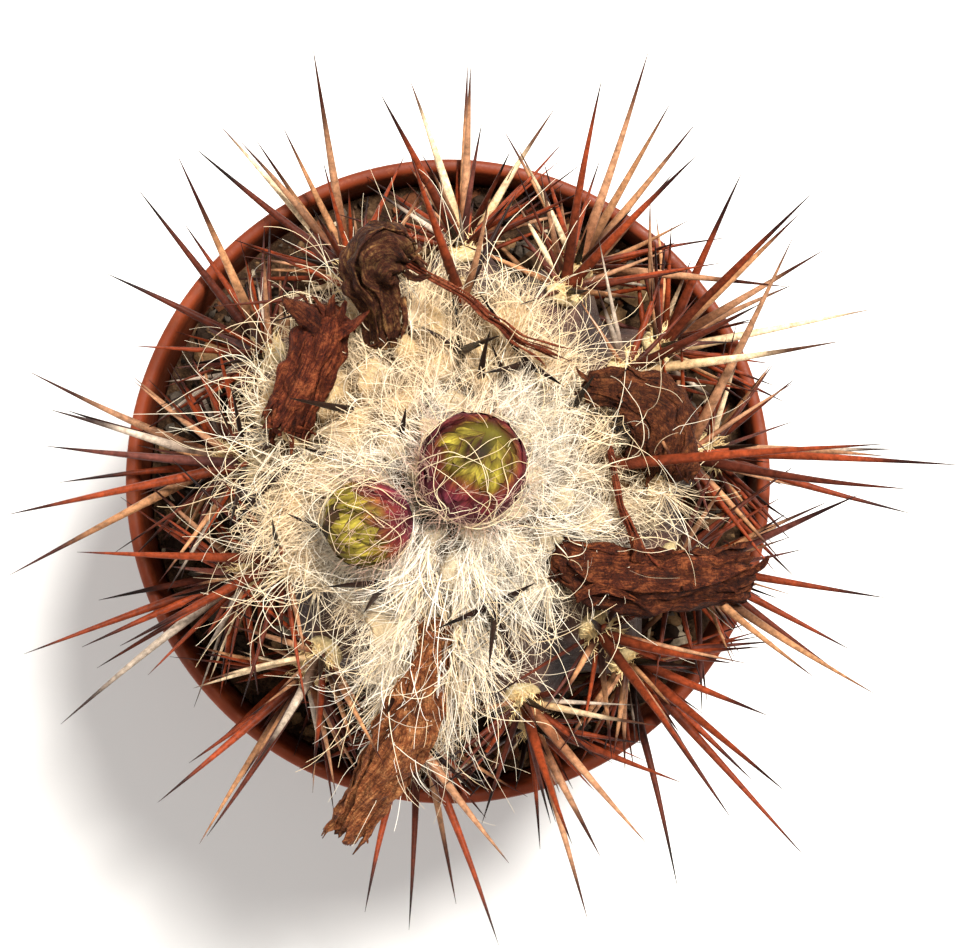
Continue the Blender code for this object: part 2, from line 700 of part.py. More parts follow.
FLOWERS = (
    {
        "name": "dried_flower_1",
        "route": (
            (-7.2, 16.4, 100.6), (-7.6, 20.2, 103.2), (-8.6, 24.6, 106.0), (-6.7, 26.9, 107.6),
            (-3.8, 25.9, 106.2),
        ),
        "widths": (1.5, 1.8, 2.8, 3.3, 2.6),
        "flat": 0.8,
        "facing": (-0.2, 0.4, 0.9),
        "strand": ((-5.6, 26.0, 107.0), (1.6, 22.0, 107.4), (8.3, 17.2, 105.6), (13.7, 14.9, 103.6)),
    },
    {
        "name": "dried_flower_2",
        "route": ((-13.2, 20.0, 103.0), (-14.6, 16.6, 103.0), (-17.0, 11.5, 102.0), (-19.0, 6.4, 100.8)),
        "widths": (2.3, 2.7, 2.8, 2.1),
        "flat": 0.75,
        "facing": (0.2, 0.1, 1.0),
        "strand": None,
    },
    {
        "name": "dried_flower_3",
        "route": (
            (17.0, 11.4, 101.6), (21.6, 10.8, 102.4), (25.2, 8.2, 101.6), (26.0, 4.8, 100.2),
            (25.2, 1.6, 98.8),
        ),
        "widths": (1.6, 2.4, 3.3, 3.6, 3.3),
        "flat": 0.4,
        "facing": (0.25, 0.1, 1.0),
        "strand": None,
    },
    {
        "name": "dried_flower_4",
        "route": (
            (13.2, -9.0, 102.6), (19.0, -11.0, 102.0), (25.0, -11.9, 100.4), (31.0, -11.6, 98.0),
            (36.0, -10.8, 96.0),
        ),
        "widths": (1.8, 3.0, 3.3, 2.9, 2.5),
        "flat": 0.62,
        "facing": (0.1, -0.1, 1.0),
        "strand": ((19.4, 4.0, 102.6), (20.6, -2.0, 103.2), (22.4, -7.4, 102.6), (23.2, -11.2, 101.0)),
    },
    {
        "name": "dried_flower_5",
        "route": (
            (-0.6, -16.6, 102.0), (-2.0, -22.5, 100.4), (-4.6, -29.6, 96.2), (-8.7, -37.3, 90.6),
            (-12.2, -43.2, 86.4),
        ),
        "widths": (1.7, 1.9, 3.1, 2.5, 1.6),
        "flat": 0.75,
        "facing": (0.0, -0.4, 0.9),
        "strand": None,
    },
)
FLOWER_ROWS, FLOWER_SIDES = 8, 9
FOOT_TIP = 0.8  # how far a flower's foot tapers on into the wool
CREASES, FOLDS = 0.3, 0.12  # shares of the width
TORN_EDGE, MOUTH_DEPTH = 2.6, 2.2
STRAND_RADIUS = 0.5
STRAND_ROWS, STRAND_SIDES = 6, 4


def flower_mesh(flower, grow=0.0):
    """A crumpled tube along its route, folded lengthwise, with a torn hollow mouth."""
    route = [Vector(p) for p in flower["route"]]
    facing = Vector(flower["facing"]).normalized()
    widths = [Vector((w, 0, 0)) for w in flower["widths"]]
    rings = []
    for row in range(FLOWER_ROWS + 1):
        t = row / FLOWER_ROWS
        point, ahead, over, side = frame_at(route, t, facing)
        width = curve_point(widths, t).x
        ring = []
        for i in range(FLOWER_SIDES):
            turn = 2 * math.pi * i / FLOWER_SIDES
            way = side * math.cos(turn) + over * (math.sin(turn) * flower["flat"])
            crease = 1 + CREASES * noise.noise(point * 0.35 + way * 2.1) + FOLDS * math.cos(4 * turn)
            torn = TORN_EDGE * noise.noise(Vector((i * 1.7, width, 5.0))) if row == FLOWER_ROWS else 0.0
            shell = way * (width * crease) + way.normalized() * grow
            ring.append(point + shell + ahead * torn)
        rings.append(ring)
    first, ahead, _, _ = frame_at(route, 0.0, facing)
    last, onward, _, _ = frame_at(route, 1.0, facing)
    hollow = MOUTH_DEPTH if grow == 0 else -grow - FOOT_TIP
    return capped_loft(rings, first - ahead * (FOOT_TIP + grow), last - onward * hollow)


def strand_mesh(route, grow=0.0):
    """A thin withered thread."""
    points = [Vector(p) for p in route]
    rings = []
    for row in range(STRAND_ROWS + 1):
        point, _, over, side = frame_at(points, row / STRAND_ROWS, Vector((0, 0, 1)))
        ring = []
        for i in range(STRAND_SIDES):
            turn = 2 * math.pi * i / STRAND_SIDES
            way = side * math.cos(turn) + over * math.sin(turn)
            ring.append(point + way * (STRAND_RADIUS + grow))
        rings.append(ring)
    start = frame_at(points, 0.0, Vector((0, 0, 1)))
    end = frame_at(points, 1.0, Vector((0, 0, 1)))
    tail = 0.6 + grow
    return capped_loft(rings, start[0] - start[1] * tail, end[0] + end[1] * tail)


def make_flower(flower, material):
    obj = make_object(flower["name"], *flower_mesh(flower), material)
    if flower["strand"]:
        combine(obj, [make_object("strand", *strand_mesh(flower["strand"]))])
    return obj


def pocket_cutters():
    """Shapes a gap wider than each bud, flower and strand."""
    gap = 2 * TOUCH_GAP
    cutters = [make_object("pocket", *bud_mesh(foot, tip, radius, gap)) for _, foot, tip, radius in BUDS]
    for flower in FLOWERS:
        cutters.append(make_object("pocket", *flower_mesh(flower, gap)))
        if flower["strand"]:
            cutters.append(make_object("pocket", *strand_mesh(flower["strand"], gap)))
    return cutters


# Assembly

def keep_largest_piece(obj):
    """Drops the loose scraps that a cut or a union leaves."""
    work = bmesh.new()
    work.from_mesh(obj.data)
    left = set(work.verts)
    largest = set()
    while left:
        piece = {left.pop()}
        front = list(piece)
        while front:
            for edge in front.pop().link_edges:
                fresh = set(edge.verts) & left
                left -= fresh
                piece |= fresh
                front += fresh
        largest = max(largest, piece, key=len)
    bmesh.ops.delete(work, geom=[v for v in work.verts if v not in largest], context="VERTS")
    work.to_mesh(obj.data)
    work.free()


def plan_sprays(wool):
    """Each areole's angle, latitude, root place, spine tips and radii: the bare ones, then the covered."""
    rng = random.Random(SEED + 2)
    places = areole_places()
    listed = listed_tips(places)
    wool_tree = tree_of(wool)
    bare, covered = [], []
    for index, (angle, latitude) in enumerate(places):
        long_tips = listed.get(index, [])
        spines = areole_spines(rng, angle, latitude, len(long_tips))
        place = body_point(angle, latitude)
        near_wool = wool_tree.find_nearest(place * MM, (PAD_LENGTH + TOUCH_GAP) * MM)[0] is not None
        under_wool = near_wool or latitude > wool_edge(angle)
        if under_wool:
            place = wool_point(angle, max(latitude, wool_edge(angle) + WOOL_SPINE_EDGE))
            shown = mix(*WOOL_SPINE_SHARES, smooth_step(*WOOL_SPINE_LATITUDES, latitude))
            normal = body_normal(angle, latitude)
            spines = [(reach * shown, radius) for reach, radius in spines]
            spines = [s for s in spines if s[0].normalized().dot(normal) > WOOL_SPINE_RISE]
            spines = [s for s in spines if rng.random() > WOOL_SPINE_LOSS]
        tips = [(place + reach, radius) for reach, radius in spines]
        tips += [(tip, CENTRAL_THICKNESS) for tip in long_tips]
        (covered if under_wool else bare).append((angle, latitude, place, tips))
    return bare, covered


def needles_of(spray, fixed, carried):
    """The needles of one areole that grow clear of their neighbours."""
    angle, latitude, place, tips = spray
    normal = body_normal(angle, latitude)
    needles = []
    for wish, radius in tips:
        start = place + normal * PAD_HEIGHT
        tip = clear_tip([*fixed, *carried], start, wish, radius)
        if tip is None:
            continue
        along = (tip - place).normalized()
        root = place - along * (ROOT_DEPTH * max(0.0, along.dot(normal)))
        if is_clear(fixed, root, place, radius):
            needles.append(spine_shape(root, tip, radius))
    return needles


def grow_spines(body, wool, neighbours):
    """Fuses the needles of covered areoles to the wool, then all pads and needles to the body."""
    fixed = [tree_of(obj) for obj in neighbours]
    bare, covered = plan_sprays(wool)
    body_tree = tree_of(body)
    through_wool = [needle for spray in covered for needle in needles_of(spray, fixed, [body_tree])]
    combine(wool, through_wool, solver="MANIFOLD")
    keep_largest_piece(wool)
    wool_tree = tree_of(wool)
    grown = []
    for spray in bare:
        if wool_tree.find_nearest(spray[2] * MM, (PAD_LENGTH + TOUCH_GAP) * MM)[0] is None:
            grown.append(make_pad(*spray[:2]))
            grown += needles_of(spray, fixed, [wool_tree])
    combine(body, grown)
    keep_largest_piece(body)


def main():
    clear_scene()
    terracotta = make_material("pot_plastic", (0.45, 0.12, 0.05), 0.45)
    grit_mix = make_material("soil_mix", (0.06, 0.045, 0.035), 0.95)
    skin = make_material("cactus_skin", (0.11, 0.08, 0.08), 0.6)
    felt = make_material("wool_felt", (0.75, 0.7, 0.6), 0.95)
    bud_skin = make_material("bud_skin", (0.3, 0.15, 0.07), 0.5)
    withered = make_material("withered_petal", (0.16, 0.06, 0.03), 0.8)

    pot = make_pot(terracotta)
    soil = make_soil(grit_mix)
    body = make_body_core(skin)
    buds = [make_object(name, *bud_mesh(foot, tip, radius), bud_skin) for name, foot, tip, radius in BUDS]
    flowers = [make_flower(flower, withered) for flower in FLOWERS]
    wool = make_wool_core(felt)
    combine(wool, make_tufts(), solver="MANIFOLD")
    combine(wool, pocket_cutters(), "DIFFERENCE", "MANIFOLD")
    keep_largest_piece(wool)
    grow_spines(body, wool, [pot, soil, *buds, *flowers])


main()
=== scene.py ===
"""Looks of the potted cactus: fine skin, spines, felt, hairs, buds and dried flowers over the CAD frame.

Sizes are millimetres and degrees, as in the part's source, and mesh_piece turns them into metres.
"""

import json
import math

import bmesh
import bpy
import numpy as np
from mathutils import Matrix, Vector, noise
from mathutils.bvhtree import BVHTree

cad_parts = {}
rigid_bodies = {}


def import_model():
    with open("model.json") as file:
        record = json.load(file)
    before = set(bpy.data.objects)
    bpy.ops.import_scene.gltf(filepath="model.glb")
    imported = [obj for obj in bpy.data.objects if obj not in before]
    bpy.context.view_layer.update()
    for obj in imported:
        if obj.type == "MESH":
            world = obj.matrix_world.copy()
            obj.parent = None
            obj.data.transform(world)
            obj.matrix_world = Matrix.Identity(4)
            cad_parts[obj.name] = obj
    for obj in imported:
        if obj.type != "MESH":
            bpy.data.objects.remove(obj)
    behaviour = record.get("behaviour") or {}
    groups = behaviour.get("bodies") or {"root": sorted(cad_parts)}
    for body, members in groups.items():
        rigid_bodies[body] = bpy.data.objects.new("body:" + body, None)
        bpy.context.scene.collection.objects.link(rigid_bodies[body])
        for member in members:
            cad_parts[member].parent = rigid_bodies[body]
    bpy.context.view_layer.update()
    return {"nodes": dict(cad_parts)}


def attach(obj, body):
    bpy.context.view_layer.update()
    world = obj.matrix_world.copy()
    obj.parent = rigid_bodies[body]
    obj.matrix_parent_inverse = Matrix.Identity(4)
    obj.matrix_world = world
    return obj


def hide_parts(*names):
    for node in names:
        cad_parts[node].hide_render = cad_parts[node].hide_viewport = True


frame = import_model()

MM = 0.001
SEED = 23
GOLDEN = math.pi * (3 - math.sqrt(5))

# The photograph's view
EYE = np.array((4.2, 1.0, 436.0))
FOCAL_PIXELS = 2823.0
CENTRE_PIXEL = np.array((480.0, 474.0))
LENS, SENSOR_WIDTH = 105.9, 36.0
CLIP_NEAR, CLIP_FAR = 0.01, 10.0

# Pot and soil, as in the part's source
POT_HEIGHT, RIM_RADIUS, BASE_RADIUS = 64.0, 42.5, 30.0
LEDGE, LEDGE_RADIUS = 52.5, 38.9
COLLAR_RADII = (41.3, 41.9)
INNER_LEDGE, LEDGE_FALL = 54.1, 1.0
RIM_BAND, RIM_WIDTH, CHAMFER = 2.2, 1.5, 0.6
WALL, BASE_THICKNESS = 1.3, 1.5
DRAIN_HOLES, DRAIN_RADIUS, DRAIN_CIRCLE = 6, 2.6, 20.0
SOIL_TOP = 57.0

# Body, as in the part's source
BODY_CENTRE = np.array((2.5, -0.5, 75.0))
BODY_RADIUS, BODY_RISE, BODY_DROP = 27.0, 26.0, 25.0
RIBS = 13
RIB_START = math.radians(8.0)
RIB_RELIEF, TUBERCLE_RELIEF = 2.6, 1.6
AREOLE_PITCH, LOWEST_AREOLE = 20.0, -30.0
RIBS_BEGIN, RIBS_FULL, RIBS_FADE, RIBS_END = -43.0, -33.0, 47.0, 66.0
TAPROOT = ((13.0, 50.0), (9.0, 42.0), (7.5, 30.0), (3.0, 17.0))
TAPROOT_TIP = 12.5
PAD_WIDTH, PAD_LENGTH, PAD_HEIGHT = 1.6, 2.3, 1.0
PAD_FLUFF = 1.45

# Wool, as in the part's source
WOOL_GAP = 0.9
WOOL_EDGE_THICKNESS, WOOL_CROWN_THICKNESS = 1.4, 5.0
WOOL_EDGE = 55.0
WOOL_LOBES = ((160.0, 44.0, 17.0), (95.0, 36.0, 13.0), (-5.0, 30.0, 10.0), (-102.0, 13.0, 40.0))
WOOL_RAGGED, WOOL_LUMPS = 4.0, 1.1
TUFTS = 40
TUFT_LENGTHS = (8.0, 5.5)
TUFT_HALF_WIDTH = 1.8


# Colours

def rgb(red, green, blue):
    """A colour given as it looks on a screen, 0 to 255, as the linear values that shaders take."""
    shares = np.array((red, green, blue)) / 255.0
    return np.where(shares <= 0.04045, shares / 12.92, ((shares + 0.055) / 1.055) ** 2.4)


def tones(colours):
    return [rgb(*colour) for colour in colours]


# Small maths

def unit(vectors):
    return vectors / np.maximum(np.linalg.norm(vectors, axis=-1, keepdims=True), 1e-9)


def smooth_step(low, high, value):
    t = np.clip((value - low) / (high - low), 0.0, 1.0)
    return t * t * (3 - 2 * t)


def mix(low, high, share):
    return low + (high - low) * share


def noise_at(points, scale=1.0, shift=0.0):
    """Smooth noise, from -1 to 1, at each point."""
    points = np.asarray(points, float) * scale + shift
    values = [noise.noise(p) for p in points.reshape(-1, 3).tolist()]
    return np.array(values).reshape(points.shape[:-1])


def curve_points(route, shares):
    """Points of a smooth curve through the route, and its direction there."""
    route = np.asarray(route, float)

    def at(t):
        place = np.clip(t, 0.0, 1.0) * (len(route) - 1)
        i = np.minimum(place.astype(int), len(route) - 2)
        u = (place - i)[:, None]
        before, start = route[np.maximum(i - 1, 0)], route[i]
        end, after = route[i + 1], route[np.minimum(i + 2, len(route) - 1)]
        return 0.5 * (
            2 * start + (end - before) * u + (2 * before - 5 * start + 4 * end - after) * u**2
            + (3 * start - before - 3 * end + after) * u**3
        )

    shares = np.asarray(shares, float)
    return at(shares), unit(at(shares + 0.02) - at(shares - 0.02))


def full_turn(count):
    """Angles spread evenly over a full turn."""
    return 2 * np.pi * np.arange(count) / count


def path_length(points):
    """Length of a path through points."""
    return np.linalg.norm(np.diff(np.array(points), axis=0), axis=1).sum()


# Meshes

def mesh_piece(name, points, faces, material, look=None, uv=None, smooth=True):
    """A piece from points in millimetres and arrays of faces, with a colour and a map place a point."""
    mesh = bpy.data.meshes.new(name)
    points = np.asarray(points, float).reshape(-1, 3) * MM
    mesh.vertices.add(len(points))
    mesh.vertices.foreach_set("co", points.ravel())
    corners = np.concatenate([np.asarray(f).ravel() for f in faces]).astype(np.int32)
    totals = np.concatenate([np.full(len(f), np.asarray(f).shape[1]) for f in faces])
    starts = np.concatenate([[0], np.cumsum(totals)[:-1]]).astype(np.int32)
    mesh.loops.add(len(corners))
    mesh.loops.foreach_set("vertex_index", corners)
    mesh.polygons.add(len(totals))
    mesh.polygons.foreach_set("loop_start", starts)
    mesh.update(calc_edges=True)
    mesh.polygons.foreach_set("use_smooth", np.full(len(totals), smooth))
    if look is not None:
        colours = np.ones((len(points), 4))
        colours[:, :3] = np.asarray(look).reshape(-1, 3)
        mesh.attributes.new("look", "FLOAT_COLOR", "POINT").data.foreach_set("color", colours.ravel())
    if uv is not None:
        places = np.asarray(uv).reshape(-1, 2)[corners]
        mesh.uv_layers.new(name="UVMap").data.foreach_set("uv", places.ravel())
    mesh.materials.append(material)
    obj = bpy.data.objects.new(name, mesh)
    bpy.context.scene.collection.objects.link(obj)
    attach(obj, "root")
    return obj


def grid_faces(rows, columns, closed=True):
    """Quads of a grid of points, whose columns close on themselves or not."""
    index = np.arange(rows * columns).reshape(rows, columns)
    right = np.roll(index, -1, axis=1)
    quads = np.stack([index[:-1], right[:-1], right[1:], index[1:]], -1)
    if not closed:
        quads = quads[:, :-1]
    return quads.reshape(-1, 4)


def sheet_grid(rows, columns):
    """How far along a sheet, from 0 to 1, and across it, from -1 to 1, each of its points lies."""
    return np.meshgrid(np.linspace(0, 1, rows), np.linspace(-1, 1, columns), indexing="ij")


def closed_grid(rings, first, last):
    """Points and faces of a body through rings, with a pole at each end."""
    rows, columns = rings.shape[:2]
    points = np.concatenate([rings.reshape(-1, 3), [first, last]])
    low = np.arange(columns)
    high = low + (rows - 1) * columns
    start = np.stack([np.full(columns, rows * columns), np.roll(low, -1), low], -1)
    end = np.stack([np.full(columns, rows * columns + 1), high, np.roll(high, -1)], -1)
    return points, [grid_faces(rows, columns), start, end]


def tubes(paths, radii, sides, rolls):
    """Points and quads of tubes along paths (tube, point, 3). Two sides make a flat ribbon."""
    count, length = paths.shape[:2]
    ahead = unit(np.gradient(paths, axis=1))
    side = unit(np.cross(ahead, rolls[:, None, :]))
    over = np.cross(ahead, side)
    turns = full_turn(sides)
    ring = side[:, :, None] * np.cos(turns)[:, None] + over[:, :, None] * np.sin(turns)[:, None]
    points = paths[:, :, None] + ring * radii[:, :, None, None]
    index = np.arange(count * length * sides).reshape(count, length, sides)
    right = np.roll(index, -1, axis=2)
    quads = np.stack([index[:, :-1], right[:, :-1], right[:, 1:], index[:, 1:]], -1)
    if sides == 2:
        quads = quads[:, :, :1]
    return points.reshape(-1, 3), quads.reshape(-1, 4)


def tube_piece(name, paths, radii, colours, material, sides, rng):
    """One piece of many tubes, with a colour for each point of each path."""
    rolls = unit(rng.normal(size=(len(paths), 3)))
    points, quads = tubes(paths, radii, sides, rolls)
    look = np.repeat(colours.reshape(-1, 3), sides, axis=0)
    return mesh_piece(name, points, [quads], material, look=look)


class Heap:
    """Points, faces, colours and map places of small shapes that make up one piece."""

    def __init__(self):
        self.points, self.faces, self.looks, self.maps, self.count = [], {}, [], [], 0

    def add(self, points, faces, look, uv=(0.0, 0.0)):
        points = np.asarray(points).reshape(-1, 3)
        for group in faces:
            group = np.asarray(group)
            self.faces.setdefault(group.shape[1], []).append(group + self.count)
        self.points.append(points)
        self.looks.append(np.broadcast_to(look, points.shape))
        self.maps.append(np.broadcast_to(np.asarray(uv, float).reshape(-1, 2), (len(points), 2)))
        self.count += len(points)

    def piece(self, name, material, slot):
        faces = [np.concatenate(group) for group in self.faces.values()]
        points, look, uv = (np.concatenate(a) for a in (self.points, self.looks, self.maps))
        return mesh_piece(name, points, faces, material, look=look, uv=uv)


# Materials

# The colour sockets of a Mix node
MIX_LOW, MIX_HIGH, MIX_RESULT = 6, 7, 2


class Shader:
    """A Principled material and short calls for the nodes that feed it."""

    def __init__(self, name, roughness=0.5, **constants):
        self.material = bpy.data.materials.new(name)
        self.material.use_nodes = True
        self.tree = self.material.node_tree
        self.shader = self.tree.nodes["Principled BSDF"]
        self.shader.inputs["Roughness"].default_value = roughness
        for key, value in constants.items():
            self.shader.inputs[key.replace("_", " ")].default_value = value
        self.place = self.add("ShaderNodeTexCoord").outputs["Object"]

    def add(self, kind, **settings):
        node = self.tree.nodes.new(kind)
        for key, value in settings.items():
            setattr(node, key, value)
        return node

    def feed(self, socket, value):
        if isinstance(value, bpy.types.NodeSocket):
            self.tree.links.new(value, socket)
        elif isinstance(value, (np.ndarray, tuple)) and socket.type == "RGBA":
            socket.default_value = (*value, 1.0)
        else:
            socket.default_value = value

    def set(self, key, value):
        self.feed(self.shader.inputs[key], value)

    def noise(self, scale, detail=4.0, rough=0.55, place=None, distort=0.0):
        """Noise with features about 1/scale millimetres wide."""
        node = self.add("ShaderNodeTexNoise")
        self.feed(node.inputs["Vector"], place or self.place)
        node.inputs["Scale"].default_value = scale / MM if place is None else scale
        node.inputs["Detail"].default_value = detail
        node.inputs["Roughness"].default_value = rough
        node.inputs["Distortion"].default_value = distort
        return node.outputs["Fac"]

    def cells(self, scale):
        """Distance to the middles of cells about 1/scale millimetres wide."""
        node = self.add("ShaderNodeTexVoronoi", feature="F1")
        self.feed(node.inputs["Vector"], self.place)
        node.inputs["Scale"].default_value = scale / MM
        return node.outputs["Distance"]

    def ramp(self, value, *stops):
        """A colour ramp through (place, colour) stops."""
        node = self.add("ShaderNodeValToRGB")
        elements = node.color_ramp.elements
        while len(elements) < len(stops):
            elements.new(0.5)
        for element, (where, colour) in zip(elements, stops):
            element.position = where
            colour = (colour,) * 3 if isinstance(colour, (int, float)) else colour
            element.color = (*colour, 1.0)
        self.feed(node.inputs["Fac"], value)
        return node.outputs["Color"]

    def mask(self, value, low, high):
        """From 0 to 1 as the value goes from low to high."""
        return self.ramp(value, (low, 0.0), (high, 1.0))

    def blend(self, share, low, high, kind="MIX"):
        node = self.add("ShaderNodeMix", data_type="RGBA", blend_type=kind)
        self.feed(node.inputs["Factor"], share)
        self.feed(node.inputs[MIX_LOW], low)
        self.feed(node.inputs[MIX_HIGH], high)
        return node.outputs[MIX_RESULT]

    def shaded(self, colour, shade):
        return self.blend(1.0, colour, shade, "MULTIPLY")

    def stained(self, base, mask, strength, colour):
        """The base with a colour laid over it where the mask is 1."""
        return self.blend(self.calc("MULTIPLY", mask, strength), base, colour)

    def calc(self, operation, first, second=0.0):
        node = self.add("ShaderNodeMath", operation=operation)
        self.feed(node.inputs[0], first)
        self.feed(node.inputs[1], second)
        return node.outputs[0]

    def look(self):
        return self.add("ShaderNodeAttribute", attribute_name="look").outputs["Color"]

    def map(self, across, along):
        """The piece's own map, stretched across and along."""
        node = self.add("ShaderNodeMapping")
        self.feed(node.inputs["Vector"], self.add("ShaderNodeUVMap", uv_map="UVMap").outputs["UV"])
        node.inputs["Scale"].default_value = (across, along, 1.0)
        return node.outputs["Vector"]

    def stretched(self, x, y, z):
        node = self.add("ShaderNodeMapping")
        self.feed(node.inputs["Vector"], self.place)
        node.inputs["Scale"].default_value = (x / MM, y / MM, z / MM)
        return node.outputs["Vector"]

    def bump(self, height, strength, depth):
        """Bump of a depth in millimetres."""
        node = self.add("ShaderNodeBump")
        node.inputs["Strength"].default_value = strength
        node.inputs["Distance"].default_value = depth * MM
        self.feed(node.inputs["Height"], height)
        before = self.shader.inputs["Normal"]
        if before.is_linked:
            self.feed(node.inputs["Normal"], before.links[0].from_socket)
        self.set("Normal", node.outputs["Normal"])


def pot_material():
    """Moulded terracotta-coloured plastic, a little scuffed and dusty, darkened by painted shade below about
    60 mm.
    """
    s = Shader("pot_orange_plastic", 0.5, Specular_IOR_Level=0.18)
    cloud = s.noise(0.06, 5.0, 0.6)
    base = s.ramp(cloud, (0.3, rgb(100, 40, 19)), (0.55, rgb(120, 51, 26)), (0.75, rgb(140, 67, 38)))
    scuffs = s.mask(s.noise(1.1, 8.0, 0.75), 0.56, 0.68)
    base = s.stained(base, scuffs, 0.25, rgb(168, 100, 66))
    streaks = s.noise(1.0, 5.0, 0.7, place=s.stretched(0.9, 0.9, 0.05))
    base = s.stained(base, s.mask(streaks, 0.52, 0.7), 0.3, rgb(104, 38, 20))
    grime = s.mask(s.noise(0.35, 7.0, 0.7, distort=0.4), 0.5, 0.66)
    base = s.stained(base, grime, 0.4, rgb(98, 58, 40))
    # Painted shade: below about 60 mm, which takes in the inner wall, the colour is darkened towards deep
    # brown.
    parts = s.add("ShaderNodeSeparateXYZ")
    s.feed(parts.inputs["Vector"], s.place)
    height = s.calc("ADD", parts.outputs["Z"], s.calc("MULTIPLY", cloud, 0.004))
    inside = s.ramp(height, (0.06, 1.0), (0.0655, 0.0))
    s.set("Base Color", s.stained(base, inside, 0.4, rgb(52, 32, 24)))
    s.set("Roughness", s.ramp(s.noise(0.8, 6.0, 0.7), (0.35, 0.36), (0.7, 0.62)))
    s.bump(s.noise(2.2, 6.0, 0.7), 0.25, 0.12)
    s.bump(streaks, 0.2, 0.08)
    return s.material


def soil_material():
    s = Shader("soil_dark_mix", 0.95, Specular_IOR_Level=0.06)
    crumbs = s.noise(0.55, 9.0, 0.75)
    base = s.ramp(
        crumbs, (0.3, rgb(28, 21, 16)), (0.48, rgb(64, 46, 33)),
        (0.6, rgb(100, 74, 53)), (0.74, rgb(150, 120, 90)),
    )
    s.set("Base Color", base)
    s.bump(crumbs, 0.9, 1.0)
    s.bump(s.cells(1.1), 0.6, 0.5)
    return s.material


def grain_material():
    """Loose mineral grains, each with its own colour."""
    s = Shader("soil_grains", 0.85, Specular_IOR_Level=0.12)
    speck = s.noise(2.2, 7.0, 0.75)
    shade = s.ramp(speck, (0.3, 0.45), (0.7, 1.05))
    s.set("Base Color", s.shaded(s.look(), shade))
    s.bump(speck, 0.7, 0.3)
    return s.material


def skin_material():
    """Dull mauve-brown skin, darkened in its grooves by painted shade, with fine pale dots and corky marks
    near the soil.
    """
    s = Shader("cactus_mauve_skin", 0.62, Specular_IOR_Level=0.18)
    parts = s.add("ShaderNodeSeparateColor")
    s.feed(parts.inputs["Color"], s.look())
    crest, height = parts.outputs["Red"], parts.outputs["Green"]
    cloud = s.noise(0.16, 6.0, 0.6)
    # Painted shade: the hollows between the crests are far darker than the raised crests.
    hollow = s.ramp(cloud, (0.35, rgb(36, 27, 26)), (0.65, rgb(58, 45, 41)))
    raised = s.ramp(cloud, (0.32, rgb(82, 55, 48)), (0.5, rgb(110, 78, 67)), (0.68, rgb(100, 80, 61)))
    base = s.blend(crest, hollow, raised)
    dots = s.ramp(s.cells(2.6), (0.12, 1.0), (0.26, 0.0))
    base = s.stained(base, dots, 0.32, rgb(176, 160, 150))
    mottle = s.mask(s.noise(0.7, 8.0, 0.7), 0.5, 0.72)
    base = s.stained(base, mottle, 0.4, rgb(58, 40, 44))
    cork = s.ramp(s.calc("ADD", height, s.calc("MULTIPLY", cloud, 0.3)), (0.2, 1.0), (0.36, 0.0))
    s.set("Base Color", s.stained(base, cork, 0.85, rgb(122, 96, 72)))
    s.set("Roughness", s.ramp(s.noise(0.9, 5.0, 0.6), (0.3, 0.5), (0.7, 0.78)))
    s.bump(s.noise(1.2, 8.0, 0.7), 0.5, 0.25)
    s.bump(s.cells(2.6), 0.4, 0.1)
    return s.material


def spine_material():
    """Horny spines in rust, tan, grey and plum, finely streaked."""
    s = Shader("spine_horn", 0.45, Specular_IOR_Level=0.12)
    grain = s.noise(1.4, 7.0, 0.7)
    shade = s.ramp(grain, (0.32, 0.45), (0.5, 0.95), (0.68, 1.5))
    s.set("Base Color", s.shaded(s.look(), shade))
    s.set("Roughness", s.ramp(grain, (0.3, 0.34), (0.7, 0.6)))
    s.bump(s.noise(4.0, 5.0, 0.6), 0.5, 0.1)
    return s.material


def hair_material(name, rough, through):
    """Dry plant hair, which lets some light through."""
    s = Shader(name, rough, Specular_IOR_Level=0.12)
    # The look holds each hair's colour, and on the fine fuzz its painted shade too.
    s.set("Base Color", s.look())
    glow = s.add("ShaderNodeBsdfTranslucent")
    s.feed(glow.inputs["Color"], s.look())
    both = s.add("ShaderNodeMixShader")
    both.inputs["Fac"].default_value = through
    s.feed(both.inputs[1], s.shader.outputs["BSDF"])
    s.feed(both.inputs[2], glow.outputs["BSDF"])
    s.feed(s.tree.nodes["Material Output"].inputs["Surface"], both.outputs["Shader"])
    return s.material


def felt_material():
    """Matted wool under the loose hairs."""
    s = Shader("wool_felt_mat", 0.95, Specular_IOR_Level=0.05)
    strands = s.noise(1.6, 8.0, 0.75, distort=2.0)
    shade = s.ramp(strands, (0.32, 0.66), (0.52, 0.95), (0.7, 1.12))
    # The look holds the wool's tone and the painted shade of the gaps between the tufts.
    s.set("Base Color", s.shaded(s.look(), shade))
    s.bump(strands, 0.9, 0.7)
    return s.material


def bud_material():
    """Satin scales with dark specks, lengthwise veins and a little pale dust."""
    s = Shader("bud_scales", 0.6, Specular_IOR_Level=0.08, Subsurface_Weight=0.05)
    s.shader.inputs["Subsurface Radius"].default_value = (0.0012, 0.0006, 0.0003)
    veins = s.noise(1.0, 7.0, 0.7, place=s.map(3.6, 0.5), distort=0.6)
    # The look holds the painted shade of the core and of the scales' sides.
    base = s.shaded(s.look(), s.ramp(veins, (0.3, 0.35), (0.5, 0.8), (0.7, 1.3)))
    specks = s.mask(s.noise(1.6, 8.0, 0.78), 0.54, 0.64)
    base = s.stained(base, specks, 0.65, rgb(62, 32, 22))
    dust = s.mask(s.noise(0.9, 8.0, 0.75, distort=0.5), 0.58, 0.72)
    s.set("Base Color", s.stained(base, dust, 0.2, rgb(190, 142, 136)))
    s.bump(veins, 0.6, 0.2)
    return s.material


